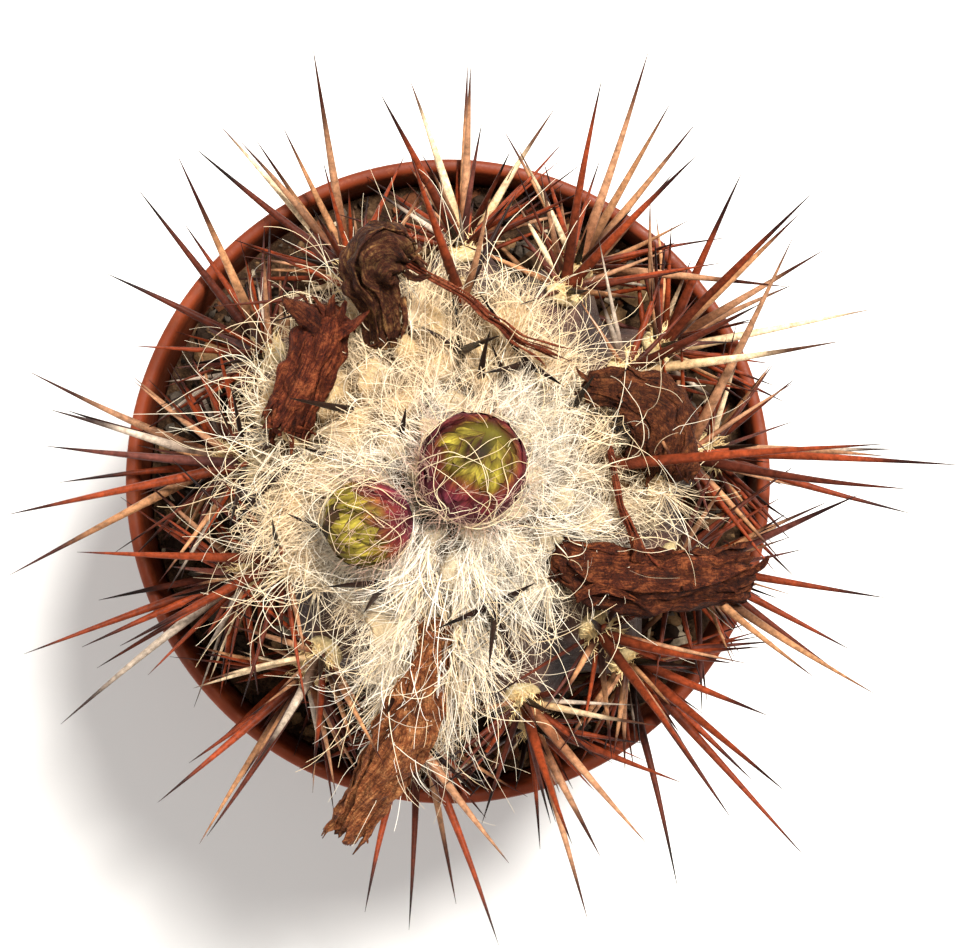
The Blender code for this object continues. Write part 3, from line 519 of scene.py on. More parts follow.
def withered_material(name, dark, middle, pale, grain=1.0):
    """Papery dried petals with lengthwise fibres, the longer the smaller the grain is."""
    s = Shader(name, 0.75, Specular_IOR_Level=0.12)
    fibres = s.noise(1.0, 9.0, 0.75, place=s.map(4.2, grain), distort=0.8)
    cloud = s.noise(0.5, 9.0, 0.78, distort=0.5)
    folds = s.calc("ABSOLUTE", s.calc("SUBTRACT", s.noise(0.75, 5.0, 0.6, distort=0.8), 0.5))
    both = s.calc("ADD", s.calc("MULTIPLY", fibres, 0.5), s.calc("MULTIPLY", cloud, 0.5))
    base = s.ramp(both, (0.4, dark), (0.5, middle), (0.6, pale))
    # Painted shade: dark lines in the creases of the folds, which the bump below also shapes.
    creased = s.ramp(folds, (0.0, 0.35), (0.035, 1.0))
    # The look brings in painted shade from the grooves, the hollow mouths and the undersides, and painted
    # light on thin edges.
    s.set("Base Color", s.shaded(s.shaded(base, creased), s.look()))
    s.set("Roughness", s.ramp(fibres, (0.3, 0.55), (0.7, 0.9)))
    s.bump(fibres, 0.7, 0.22)
    s.bump(folds, 0.9, 1.6)
    s.bump(cloud, 0.8, 0.7)
    return s.material


# Camera, light and floor

# Lamps: place, size, power and colour. Lengths of the lamps and the floor are metres.
LAMPS = {
    "window": ((0.26, 0.34, 0.9), 0.22, 20.0, (1.0, 0.97, 0.92)),
    "bounce": ((-0.6, -0.35, 0.5), 0.6, 2.0, (1.0, 0.95, 0.9)),
}
LAMP_TARGET = Vector((0.0, 0.0, 0.09))
SKY_COLOUR, SKY_STRENGTH = (1.0, 0.985, 0.965, 1.0), 0.48
FLOOR_HALF = 2.0
FLOOR_TONES = ((0.88, 0.875, 0.865), (0.9, 0.895, 0.885))


def make_camera():
    data = bpy.data.cameras.new("photo_view")
    data.lens, data.sensor_width = LENS, SENSOR_WIDTH
    data.clip_start, data.clip_end = CLIP_NEAR, CLIP_FAR
    camera = bpy.data.objects.new("photo_view", data)
    camera.location = EYE * MM
    bpy.context.scene.collection.objects.link(camera)
    bpy.context.scene.camera = camera


def add_light(name, place, size, power, colour):
    data = bpy.data.lights.new(name, "AREA")
    data.shape = "DISK"
    data.size = size
    data.energy = power
    data.color = colour
    light = bpy.data.objects.new(name, data)
    light.location = place
    aim = LAMP_TARGET - light.location
    light.rotation_euler = aim.to_track_quat("-Z", "Y").to_euler()
    bpy.context.scene.collection.objects.link(light)


def make_studio():
    """Soft daylight from above and the upper right, over a plain pale floor."""
    world = bpy.data.worlds.new("studio")
    world.use_nodes = True
    sky = world.node_tree.nodes["Background"]
    sky.inputs["Color"].default_value = SKY_COLOUR
    sky.inputs["Strength"].default_value = SKY_STRENGTH
    bpy.context.scene.world = world
    for name, lamp in LAMPS.items():
        add_light(name, *lamp)
    view = bpy.context.scene.view_settings
    view.view_transform = "Standard"
    view.look = "None"
    s = Shader("floor_pale", 0.9, Specular_IOR_Level=0.1)
    low, high = FLOOR_TONES
    s.set("Base Color", s.ramp(s.noise(0.01, 3.0), (0.3, low), (0.7, high)))
    mesh = bpy.data.meshes.new("floor")
    corners = [(x * FLOOR_HALF, y * FLOOR_HALF, 0) for x, y in ((-1, -1), (1, -1), (1, 1), (-1, 1))]
    mesh.from_pydata(corners, [], [(0, 1, 2, 3)])
    mesh.materials.append(s.material)
    floor = bpy.data.objects.new("floor", mesh)
    bpy.context.scene.collection.objects.link(floor)


# Pot and soil

POT_SIDES = 168
CORNER_RADIUS, CORNER_STEPS = 0.7, 4
SHARP_DEGREES = 40

# The wall isn't quite round: how far off, how broadly, and from which height up
POT_WOBBLE, WOBBLE_SCALE, WOBBLE_FROM = 0.12, 0.035, 3.0
DRILL_SIDES, DRILL_DEPTH = 28, 5.0


def rounded(profile, radius):
    """The profile with each corner between its ends rounded."""
    profile = [np.array(p, float) for p in profile]
    points = [profile[0]]
    for before, corner, after in zip(profile, profile[1:], profile[2:]):
        cut = min(radius, 0.45 * np.linalg.norm(corner - before), 0.45 * np.linalg.norm(after - corner))
        start = corner + unit(before - corner) * cut
        end = corner + unit(after - corner) * cut
        for t in np.arange(CORNER_STEPS + 1) / CORNER_STEPS:
            points.append((1 - t) ** 2 * start + 2 * t * (1 - t) * corner + t * t * end)
    return np.array([*points, profile[-1]])


def inner_wall(height):
    """Radius of the pot's inside at a height."""
    if height >= INNER_LEDGE:
        return mix(*COLLAR_RADII, (height - LEDGE) / (POT_HEIGHT - LEDGE)) - WALL
    return mix(BASE_RADIUS, LEDGE_RADIUS, height / LEDGE) - WALL


def turned_rings(profile, sides):
    """Rings of points where a profile of (radius, height) is turned round the Z axis."""
    angle = full_turn(sides)
    around = np.stack([np.cos(angle), np.sin(angle)], -1)
    flat = profile[:, None, :1] * around[None]
    return np.concatenate([flat, np.broadcast_to(profile[:, None, 1:], (*flat.shape[:2], 1))], -1)


def cut_holes(pot):
    """The drain holes, cut through the base."""
    group = bpy.data.collections.new("drills")
    bpy.context.scene.collection.children.link(group)
    for k in range(DRAIN_HOLES):
        turn = 2 * math.pi * k / DRAIN_HOLES
        mesh = bpy.data.meshes.new("drill")
        work = bmesh.new()
        bmesh.ops.create_cone(
            work, cap_ends=True, segments=DRILL_SIDES,
            radius1=DRAIN_RADIUS * MM, radius2=DRAIN_RADIUS * MM, depth=DRILL_DEPTH * MM,
        )
        work.to_mesh(mesh)
        work.free()
        drill = bpy.data.objects.new("drill", mesh)
        drill.location = (DRAIN_CIRCLE * MM * math.cos(turn), DRAIN_CIRCLE * MM * math.sin(turn), 0.0)
        group.objects.link(drill)
    cut = pot.modifiers.new("drain", "BOOLEAN")
    cut.operation, cut.solver = "DIFFERENCE", "EXACT"
    cut.operand_type, cut.collection = "COLLECTION", group
    shown = pot.evaluated_get(bpy.context.evaluated_depsgraph_get())
    mesh = bpy.data.meshes.new_from_object(shown)
    pot.modifiers.clear()
    pot.data = mesh
    for drill in list(group.objects):
        bpy.data.objects.remove(drill, do_unlink=True)
    bpy.data.collections.remove(group)


def make_pot():
    """The turned pot, in finer steps than the solid, with its corners rounded and its drain holes."""
    outside = (
        (10.0, 0.0), (BASE_RADIUS - CHAMFER, 0.0), (BASE_RADIUS, CHAMFER), (LEDGE_RADIUS, LEDGE),
        (COLLAR_RADII[0], LEDGE + CHAMFER), (COLLAR_RADII[1], POT_HEIGHT - RIM_BAND),
        (RIM_RADIUS, POT_HEIGHT - RIM_BAND + CHAMFER), (RIM_RADIUS, POT_HEIGHT),
        (RIM_RADIUS - RIM_WIDTH, POT_HEIGHT),
        (inner_wall(POT_HEIGHT - CHAMFER), POT_HEIGHT - 2 * CHAMFER),
        (inner_wall(INNER_LEDGE), INNER_LEDGE),
        (inner_wall(INNER_LEDGE - LEDGE_FALL), INNER_LEDGE - LEDGE_FALL),
        (inner_wall(BASE_THICKNESS), BASE_THICKNESS), (10.0, BASE_THICKNESS),
    )
    rings = turned_rings(rounded(outside, CORNER_RADIUS), POT_SIDES)
    wobble = POT_WOBBLE * noise_at(rings, WOBBLE_SCALE)
    rings = rings + unit(rings * (1, 1, 0)) * (wobble * (rings[..., 2] > WOBBLE_FROM))[..., None]
    points, faces = closed_grid(rings, (0, 0, 0), (0, 0, BASE_THICKNESS))
    pot = mesh_piece("pot_moulded", points, faces, pot_material())
    cut_holes(pot)
    pot.data.polygons.foreach_set("use_smooth", np.ones(len(pot.data.polygons), bool))
    pot.data.set_sharp_from_angle(angle=math.radians(SHARP_DEGREES))
    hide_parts("pot")


def grit(points):
    """Height of the soil's grains, as in the part's source."""
    flat = np.asarray(points)[..., :2]
    fine = np.concatenate([flat * 0.55, np.full((*flat.shape[:-1], 1), 3.0)], -1)
    coarse = np.concatenate([flat * 0.16, np.full((*flat.shape[:-1], 1), 9.0)], -1)
    return 1.1 * noise_at(fine) + 0.9 * noise_at(coarse)


# Colours of the grains, with their weights
GRAIN_TONES = (
    ((54, 40, 30), 0.3), ((34, 27, 22), 0.1), ((104, 92, 80), 0.14), ((150, 116, 80), 0.18),
    ((120, 72, 46), 0.13), ((196, 176, 148), 0.06), ((84, 62, 44), 0.09),
)

# Loose grains: piece, how many, least and greatest radius, detail of the shape, and how far the middle of
# each stands over the soil, as a share of its radius
GRAINS = (
    ("soil_gravel", 620, (0.9, 2.3), 2, 0.25),
    ("soil_grit", 2400, (0.3, 0.9), 1, 0.35),
)

# They lie from this radius out to this far off the pot's wall
GRAINS_INNER_EDGE, GRAINS_WALL_GAP = 18.0, 0.6


def grain_colours(rng, count):
    """Random colours from GRAIN_TONES, each a little lighter or darker."""
    weights = np.array([weight for _, weight in GRAIN_TONES])
    colours = np.array(tones(tone for tone, _ in GRAIN_TONES))
    picked = colours[rng.choice(len(colours), count, p=weights / weights.sum())]
    return picked * rng.uniform(0.75, 1.25, (count, 1))


def grain_shape(subdivisions):
    """Points and faces of a small ball."""
    work = bmesh.new()
    bmesh.ops.create_icosphere(work, subdivisions=subdivisions, radius=1.0)
    points = np.array([v.co[:] for v in work.verts])
    faces = np.array([[v.index for v in f.verts] for f in work.faces])
    work.free()
    return points, faces


def make_grains(name, count, sizes, subdivisions, rise, seed):
    """Loose grains over the soil, between the plant and the pot's wall."""
    rng = np.random.default_rng(seed)
    shape, faces = grain_shape(subdivisions)
    size = mix(*sizes, rng.random(count) ** 2.2)
    outer = inner_wall(SOIL_TOP + 1.0) - GRAINS_WALL_GAP - size
    radius = np.sqrt(mix(GRAINS_INNER_EDGE**2, outer**2, rng.random(count)))
    turn = rng.uniform(0, 2 * np.pi, count)
    centre = np.stack([radius * np.cos(turn), radius * np.sin(turn), np.full(count, SOIL_TOP)], -1)
    centre[:, 2] += grit(centre) + size * rise
    width, height = rng.uniform(0.6, 1.0, count), rng.uniform(0.45, 0.85, count)
    scale = size[:, None] * np.stack([np.ones(count), width, height], -1)
    rough = 1 + 0.2 * rng.normal(size=(count, len(shape)))
    points = shape[None] * np.clip(rough, 0.6, 1.3)[..., None] * scale[:, None]
    spin, tip = rng.uniform(0, 2 * np.pi, count), rng.uniform(-0.6, 0.6, count)
    c, s = np.cos(spin)[:, None], np.sin(spin)[:, None]
    x, y, z = points[..., 0], points[..., 1], points[..., 2]
    x, y = c * x - s * y, s * x + c * y
    c, s = np.cos(tip)[:, None], np.sin(tip)[:, None]
    y, z = c * y - s * z, s * y + c * z
    points = np.stack([x, y, z], -1) + centre[:, None]
    index = (np.arange(count) * len(shape))[:, None, None] + faces[None]
    look = np.repeat(grain_colours(rng, count), len(shape), axis=0)
    faces = [index.reshape(-1, 3)]
    return mesh_piece(name, points, faces, grain_material(), look=look, smooth=False)


def make_soil():
    """The CAD soil under its own material, and the loose grains over it."""
    frame["nodes"]["soil"].data.materials.clear()
    frame["nodes"]["soil"].data.materials.append(soil_material())
    for k, grains in enumerate(GRAINS):
        make_grains(*grains, SEED + k)


# Body

# Columns of points over each rib, rows of points as latitudes from, to and by, and the height from which the
# skin turns from corky to fresh, with the span that this takes
RIB_COLUMNS = 22
BODY_ROWS = ((-50.0, 62.0, 1.4), (62.0, 89.0, 3.0))
SKIN_LOW, SKIN_SPAN = 52.0, 50.0

# Areoles: the pad's rings, as shares of its height and width, and the fibres on it
PAD_SIDES = 16
PAD_LIFTS = np.array([-0.6, 0.1, 0.5, 0.8, 0.95, 1.02])
PAD_WIDTHS = np.array([1.0, 1.06, 0.98, 0.78, 0.5, 0.2])
PAD_FIBRES = 210
FIBRE_RADII = np.array([0.06, 0.055, 0.045, 0.015])

# From young areoles to old ones
PAD_TONES = ((244, 218, 162), (204, 168, 120))

# The CAD body has a pad where its surface is found this near to a point just over a pad's top
PAD_PROBE, PAD_FOUND = 0.1, 0.45


def body_frame(angle, latitude):
    """Points on the body's ellipsoid and their outward normals."""
    lat = np.radians(latitude)
    rise = np.where(np.asarray(latitude) >= 0, BODY_RISE, BODY_DROP)
    flat = np.stack([np.cos(lat) * np.cos(angle), np.cos(lat) * np.sin(angle), np.sin(lat)], -1)
    size = np.stack([np.full_like(rise, BODY_RADIUS), np.full_like(rise, BODY_RADIUS), rise], -1)
    return BODY_CENTRE + flat * size, unit(flat / size)


def rib_fade(latitude):
    return smooth_step(RIBS_BEGIN, RIBS_FULL, latitude) * (1 - smooth_step(RIBS_FADE, RIBS_END, latitude))


def first_latitude(rib):
    return LOWEST_AREOLE + np.where(rib % 2 == 1, AREOLE_PITCH / 2, 0.0)


def rib_shares(angle, latitude):
    """How near a point is to a rib's crest, and to a tubercle's top, each from 0 to 1."""
    turns = (angle - RIB_START) * RIBS / (2 * np.pi)
    crest = (0.5 + 0.5 * np.cos(2 * np.pi * turns)) ** 0.8
    phase = 2 * np.pi * (latitude - first_latitude(np.round(turns) % RIBS)) / AREOLE_PITCH
    return crest, 0.5 + 0.5 * np.cos(phase + 0.5 * np.sin(phase))


def body_point(angle, latitude):
    """Points on the ribbed body and the ellipsoid's normals there."""
    surface, normal = body_frame(angle, latitude)
    crest, swell = rib_shares(angle, latitude)
    height = rib_fade(latitude) * crest * (RIB_RELIEF + TUBERCLE_RELIEF * swell)
    return surface + normal * height[..., None], normal


def surface_axes(angle, latitude):
    """The outward normal, the direction up the rib and the one across it."""
    _, normal = body_frame(angle, latitude)
    across = np.stack([-np.sin(angle), np.cos(angle), np.zeros_like(angle)], -1)
    return normal, np.cross(normal, across), across


def make_body():
    """The ribbed globe on its taproot, with fine wrinkles and a chin under each areole."""
    columns = RIBS * RIB_COLUMNS
    latitudes = np.concatenate([np.arange(*rows) for rows in BODY_ROWS])
    angle, latitude = np.meshgrid(RIB_START + full_turn(columns), latitudes)
    points, normal = body_point(angle, latitude)
    crest, swell = rib_shares(angle, latitude)
    fade = rib_fade(latitude)
    wrinkle = 0.2 * noise_at(points, 0.8) + 0.1 * noise_at(points, 2.1) + 0.12 * noise_at(points, 0.3)
    chin = 0.35 * np.exp(-(((swell - 0.12) / 0.1) ** 2)) * crest
    points = points + normal * (fade * (wrinkle - chin))[..., None]
    cos, sin = math.cos(RIB_START), math.sin(RIB_START)
    plan = BODY_CENTRE * (1, 1, 0)
    root = turned_rings(np.array(TAPROOT[::-1]), columns)
    root = root @ np.array([[cos, sin, 0], [-sin, cos, 0], [0, 0, 1]]) + plan
    rings = np.concatenate([root, points])
    shares = np.zeros(rings.shape)
    # The crest share, highest on the tubercles' tops, sets where the skin's painted shade in the grooves
    # falls.
    shares[len(root):, :, 0] = fade * crest * (0.45 + 0.55 * swell)
    shares[..., 1] = np.clip((rings[..., 2] - SKIN_LOW) / SKIN_SPAN, 0, 1)
    all_points, faces = closed_grid(rings, plan + (0, 0, TAPROOT_TIP), BODY_CENTRE + (0, 0, BODY_RISE))
    look = np.concatenate([shares.reshape(-1, 3), [(0, 0, 0), (0, 1, 0)]])
    body = mesh_piece("cactus_skin_ribs", all_points, faces, skin_material(), look=look)
    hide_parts("cactus_body")
    return body


def areole_places():
    """Angles and latitudes of all areoles."""
    angles, latitudes = [], []
    for rib in range(RIBS):
        latitude = float(first_latitude(np.array(rib)))
        while latitude < RIBS_END:
            angles.append(RIB_START + 2 * math.pi * rib / RIBS)
            latitudes.append(latitude)
            latitude += AREOLE_PITCH
    return np.array(angles), np.array(latitudes)


def tree_of(*pieces):
    """One search tree of the faces of some pieces, in metres."""
    points, faces = [], []
    for piece in pieces:
        faces += [[v + len(points) for v in p.vertices] for p in piece.data.polygons]
        points += [v.co.copy() for v in piece.data.vertices]
    return BVHTree.FromPolygons(points, faces)


def bare_areoles(angles, latitudes):
    """True for each areole that stands free of the wool: the CAD body has a felt pad there."""
    tree = tree_of(frame["nodes"]["cactus_body"])
    points, normals = body_point(angles, latitudes)
    probe = (points + normals * (PAD_HEIGHT + PAD_PROBE)) * MM
    return np.array([tree.find_nearest(Vector(p))[3] < PAD_FOUND * MM for p in probe])


def felt_colour(latitude, rng):
    """Cream felt on young areoles, greyer and browner on the old ones below."""
    age = 1 - smooth_step(-25.0, 30.0, latitude)
    return mix(*tones(PAD_TONES), age) * rng.uniform(0.92, 1.12)


def make_pads(angles, latitudes, felt, hair):
    """The felt pads of the areoles and the short fibres on them."""
    rng = np.random.default_rng(SEED + 2)
    heap = Heap()
    turn = full_turn(PAD_SIDES)
    starts, ways, colours = [], [], []
    for angle, latitude in zip(angles, latitudes):
        centre, _ = body_point(angle, latitude)
        normal, along, across = surface_axes(angle, latitude)
        flat = across * (PAD_WIDTH * np.cos(turn))[:, None] + along * (PAD_LENGTH * np.sin(turn))[:, None]
        flat = flat * PAD_FLUFF
        lifts = normal * (PAD_LIFTS * PAD_HEIGHT)[:, None, None]
        rings = centre + flat[None] * PAD_WIDTHS[:, None, None] + lifts
        rings = rings + normal * (0.22 * noise_at(rings, 0.6))[..., None]
        points, faces = closed_grid(rings, centre - normal * 0.8, centre + normal * 1.05)
        colour = felt_colour(latitude, rng)
        heap.add(points, faces, colour)
        spin, reach = rng.uniform(0, 2 * np.pi, PAD_FIBRES), np.sqrt(rng.random(PAD_FIBRES))
        place = across * (PAD_WIDTH * reach * np.cos(spin))[:, None]
        place = place + along * (PAD_LENGTH * reach * np.sin(spin))[:, None]
        rise = 0.95 * np.sqrt(1 - 0.7 * reach**2)
        starts.append(centre + place * PAD_FLUFF + normal * rise[:, None])
        way = normal * 0.8 + unit(place) * reach[:, None] + 0.45 * rng.normal(size=(PAD_FIBRES, 3))
        ways.append(unit(way))
        colours.append(np.broadcast_to(colour * 1.1, (PAD_FIBRES, 3)))
    heap.piece("areole_pads", felt, "cactus_skin")
    starts, ways, colours = (np.concatenate(a) for a in (starts, ways, colours))
    length = rng.uniform(0.6, 2.2, len(starts))
    paths = hair_paths(rng, starts, ways, length, len(FIBRE_RADII) - 1, 0.25, 0.3, 0.0)
    radii = np.broadcast_to(FIBRE_RADII, paths.shape[:2])
    colours = np.repeat(colours[:, None], paths.shape[1], axis=1)
    tube_piece("areole_fibres", paths, radii, colours, hair, 2, rng)


# Spines

# Root, middle and tip of each tone
SPINE_TONES = {
    "rust": ((78, 33, 18), (126, 52, 25), (38, 15, 11)),
    "tan": ((122, 76, 50), (166, 120, 88), (60, 28, 18)),
    "cream": ((204, 168, 122), (222, 194, 156), (80, 50, 36)),
    "grey": ((98, 74, 60), (176, 158, 140), (48, 32, 28)),
    "plum": ((62, 34, 30), (92, 50, 42), (32, 16, 15)),
    "dark": ((58, 25, 17), (82, 35, 21), (22, 11, 9)),
    "black": ((26, 14, 11), (32, 16, 12), (12, 7, 6)),
    "banded": ((54, 28, 20), (172, 122, 84), (54, 20, 14)),
}
TONE_WEIGHTS = {
    "rust": 0.38, "tan": 0.13, "cream": 0.03, "grey": 0.05, "plum": 0.09, "dark": 0.19, "banded": 0.13,
}

# The tones of the spines that stand out, by the pixel of the view near which each one's tip shows
TIP_TONES = (
    ((313, 48), "tan"), ((177, 154), "banded"), ((138, 189), "dark"), ((240, 141), "tan"),
    ((184, 223), "rust"), ((380, 93), "rust"), ((410, 80), "cream"), ((555, 108), "cream"),
    ((602, 78), "rust"), ((614, 168), "cream"), ((697, 155), "rust"), ((742, 172), "rust"),
    ((800, 213), "banded"), ((793, 237), "tan"), ((788, 287), "tan"), ((873, 309), "cream"),
    ((960, 465), "rust"), ((885, 444), "rust"), ((908, 489), "dark"), ((896, 449), "grey"),
    ((860, 494), "plum"), ((800, 586), "dark"), ((806, 858), "rust"), ((753, 781), "rust"),
    ((61, 724), "grey"), ((8, 576), "banded"), ((6, 515), "rust"), ((26, 370), "tan"),
    ((48, 409), "grey"), ((207, 836), "dark"), ((499, 946), "rust"), ((120, 646), "rust"),
    ((842, 341), "cream"), ((482, 122), "plum"), ((57, 483), "rust"),
)
TIP_PIXELS = 7.0

# Short dark spines that come up through the wool: foot and tip, in pixels of the view
CROWN_SPINES = (
    ((482, 376), (490, 333)), ((509, 388), (491, 347)), ((400, 434), (407, 408)), ((331, 457), (306, 448)),
    ((439, 268), (446, 219)), ((262, 552), (225, 546)), ((398, 690), (388, 712)), ((584, 600), (598, 622)),
)
CROWN_SPINE_CLIMB = 1.4
CROWN_SPINE_LONGEST = 17.0
UPRIGHT_REACH = 10.0

# A needle's tip is a point of the CAD mesh whose edges all run within this cosine of their mean, one of them
# longer than this. Its areole is at least NEEDLE_REACH away, and its axis runs past it within NEEDLE_MISS.
NEEDLE_COSINE, NEEDLE_LENGTH = 0.985, 4.0
NEEDLE_REACH, NEEDLE_MISS = 3.0, 2.0
ROOT_DEPTH = 0.7
STOUT, SLIM = 0.74, 0.52
STOUT_REACH = 19.5

# Thinner spines round each areole: how many, their tilt from its normal, their lengths and radii
EXTRA_SPINES = 8
EXTRA_TILTS, EXTRA_REACH, EXTRA_RADII = (45, 80), (9.0, 20.0), (0.3, 0.55)
SPINE_STEPS, SPINE_SIDES = 14, 8


def cad_needles(node):
    """Tip of every needle on a CAD node, and its direction from the root."""
    mesh = frame["nodes"][node].data
    places = np.empty(len(mesh.vertices) * 3)
    mesh.vertices.foreach_get("co", places)
    spots, index = np.unique(np.round(places.reshape(-1, 3) / MM, 3), axis=0, return_inverse=True)
    index = index.ravel()
    neighbours = {}
    for edge in mesh.edges:
        a, b = (int(index[v]) for v in edge.vertices)
        if a != b:
            neighbours.setdefault(a, set()).add(b)
            neighbours.setdefault(b, set()).add(a)
    needles = []
    for vertex in sorted(neighbours):
        ways = spots[vertex] - spots[sorted(neighbours[vertex])]
        mean = unit(unit(ways).mean(axis=0))
        narrow = (unit(ways) @ mean).min() > NEEDLE_COSINE
        if len(ways) >= 3 and narrow and np.linalg.norm(ways, axis=1).max() > NEEDLE_LENGTH:
            needles.append((spots[vertex], mean))
    return needles


def rooted_needles(angles, latitudes):
    """Root, tip, base radius and tone of every CAD needle, traced back to the areole that it leaves."""
    on_body, _ = body_point(angles, latitudes)
    edges = np.array([wool_edge(a) for a in angles])
    in_wool = np.array([wool_point(a, max(lat, e + 8.0)) for a, lat, e in zip(angles, latitudes, edges)])
    found = []
    for node, sources in (("cactus_body", on_body), ("crown_wool", in_wool)):
        for tip, way in cad_needles(node):
            back = (tip - sources) @ way
            miss = np.linalg.norm(tip - sources - way * back[:, None], axis=1)
            miss = np.where(back > NEEDLE_REACH, miss, np.inf)
            nearest = int(miss.argmin())
            if miss[nearest] < NEEDLE_MISS:
                root = tip - way * (back[nearest] + ROOT_DEPTH)
                short = node == "crown_wool" and back[nearest] < CROWN_SPINE_LONGEST
                tone = "black" if short or np.linalg.norm((tip - root)[:2]) < UPRIGHT_REACH else None
                found.append((root, tip, STOUT if back[nearest] > STOUT_REACH else SLIM, tone))
    return found


def tone_of(tip, rng):
    """The tone of a listed spine, or a random one."""
    scale = (EYE[2] - tip[2]) / FOCAL_PIXELS
    pixel = CENTRE_PIXEL + (tip[:2] - EYE[:2]) / scale * (1, -1)
    for place, tone in TIP_TONES:
        if np.linalg.norm(pixel - place) < TIP_PIXELS:
            return tone
    names = list(TONE_WEIGHTS)
    weights = np.array([TONE_WEIGHTS[n] for n in names])
    return names[rng.choice(len(names), p=weights / weights.sum())]


def spine_colours(tone, shares, rng):
    """Colours from root to tip: a base, a middle, a dark tip, and faint bands between."""
    base, middle, tip = tones(SPINE_TONES[tone])
    start, end = rng.uniform(0.05, 0.3), rng.uniform(0.55, 0.85)
    colours = base + (middle - base) * smooth_step(start, start + 0.3, shares)[:, None]
    colours = colours + (tip - colours) * smooth_step(end, end + 0.18, shares)[:, None]
    bands = 1 + 0.28 * np.sin(shares * rng.uniform(9, 22) + rng.uniform(0, 6.3)) * (1 - shares)
    return colours * bands[:, None] * rng.uniform(0.8, 1.15)


def extra_spines(angles, latitudes, bare, rng):
    """Thinner spines round each areole, more than the solids hold, where they run into nothing."""
    walls = [tree_of(frame["nodes"][name]) for name in ("pot", "soil", "crown_wool")]
    extra = []
    for angle, latitude in zip(angles[bare], latitudes[bare]):
        place, _ = body_point(angle, latitude)
        normal, up, across = surface_axes(angle, latitude)
        for k in range(EXTRA_SPINES):
            turn = 2 * math.pi * (k + rng.uniform(-0.35, 0.35)) / EXTRA_SPINES
            tilt = math.radians(rng.uniform(*EXTRA_TILTS))
            way = up * math.cos(turn) + across * math.sin(turn)
            way = normal * math.cos(tilt) + way * math.sin(tilt)
            start = place + normal * 0.5
            reach = rng.uniform(*EXTRA_REACH)
            if all(w.ray_cast(Vector(start * MM), Vector(way), reach * MM)[0] is None for w in walls):
                root = place - way * 0.4 * max(0.0, float(way @ normal))
                extra.append((root, start + way * reach, rng.uniform(*EXTRA_RADII), None))
    return extra


def crown_spines(wool):
    """The short dark spines that come up through the wool, each with its foot where the view shows it."""
    spikes = []
    for foot, tip in CROWN_SPINES:
        away = np.array([*((np.array(foot) - CENTRE_PIXEL) * (1, -1)), -FOCAL_PIXELS])
        place = wool.ray_cast(Vector(EYE * MM), Vector(unit(away)))[0]
        if place is None:
            continue
        place = np.array(place) / MM
        flat = (np.array(tip) - foot) * (1, -1) * (EYE[2] - place[2]) / FOCAL_PIXELS
        reach = np.linalg.norm(flat)
        way = np.array([*flat, CROWN_SPINE_CLIMB * reach])
        spikes.append((place - unit(way) * 2.0, place + way, SLIM, "black"))
    return spikes


def make_spines(angles, latitudes, bare, wool):
    """Round tapering shafts, slightly bent, in two pieces."""
    rng = np.random.default_rng(SEED + 3)
    needles = rooted_needles(angles, latitudes) + extra_spines(angles, latitudes, bare, rng)
    needles += crown_spines(wool)
    shares = np.linspace(0, 1, SPINE_STEPS)
    paths, radii, colours = [], [], []
    for root, tip, radius, tone in needles:
        line = root + (tip - root) * shares[:, None]
        length = np.linalg.norm(tip - root)
        bend = unit(np.cross(tip - root, rng.normal(size=3))) * length * rng.uniform(0.0, 0.022)
        line = line + bend * np.sin(np.pi * shares)[:, None]
        paths.append(line)
        swell = 1.12 - 0.12 * smooth_step(0.0, 0.12, shares)
        radii.append(radius * swell * (1 - shares**1.25) ** 0.92 + 0.02)
        colours.append(spine_colours(tone or tone_of(tip, rng), shares, rng))
    paths, radii, colours = np.array(paths), np.array(radii), np.array(colours)
    half = len(paths) // 2
    material = spine_material()
    for name, part in (("spines_a", slice(None, half)), ("spines_b", slice(half, None))):
        tube_piece(name, paths[part], radii[part], colours[part], material, SPINE_SIDES, rng)


# Wool

TUFT_CENTRES = 86
FELT_COLUMNS, FELT_ROWS = 230, 60
PRESS_STEPS, PRESS_DEPTH = 16, 0.5
FUZZ_GUIDES, FUZZ_PIECES, FUZZ_EACH, FUZZ_STEPS = 900, 3, 10500, 5
LOCK_HAIRS, LOCK_STEPS = 54, 7
WISPS, WISP_STEPS = 1100, 12
APRON_ANGLE, APRON_HALF = -104.0, 22.0
APRON_GUIDES, APRON_HAIRS, APRON_STEPS = 46, 760, 12
STRAY_STEPS = 16
CLUMP_BATCH = 2000

# How far the felt stands up in the gaps and inside the tufts, and its colour there, dark with painted shade
# in the gaps
FELT_DEPTHS = (-2.5, 0.35)
FELT_PAINTED_SHADES = ((84, 56, 36), (246, 232, 206))

# The wool is whitest round this point of the plan and warmer this far from it, along X and along Y
WHITEST, WHITE_REACH = (2.0, -7.0), (17.0, 19.0)
WOOL_TONES = ((247, 238, 222), (246, 222, 184))
APRON_TONES = ((248, 242, 230), (244, 216, 170))
STRAY_TONES = ((254, 246, 226), (248, 222, 178))

# Straight down, how far below a point a piece counts as under it, in metres, and how far off, in millimetres,
# hairs look for what they would run into
DOWN, DROP = Vector((0.0, 0.0, -1.0)), 0.02
SEARCH = 5.0

# The edge's tufts are fewest on the side that faces this way, in radians from +X, and the long stray hairs
# are densest within this of -X.
SPARSE_SIDE = 0.8
DENSE_HALF = 0.75

# Long stray hairs: how many, where they root from the edge (0) to the crown (1), how far they lean down,
# their lengths and their curl a step
STRAYS = (
    (800, (0.0, 0.3), 0.85, (8.0, 20.0), (0.03, 0.3)),
    (1150, (0.15, 1.0), 0.45, (7.0, 18.0), (0.05, 0.36)),
)


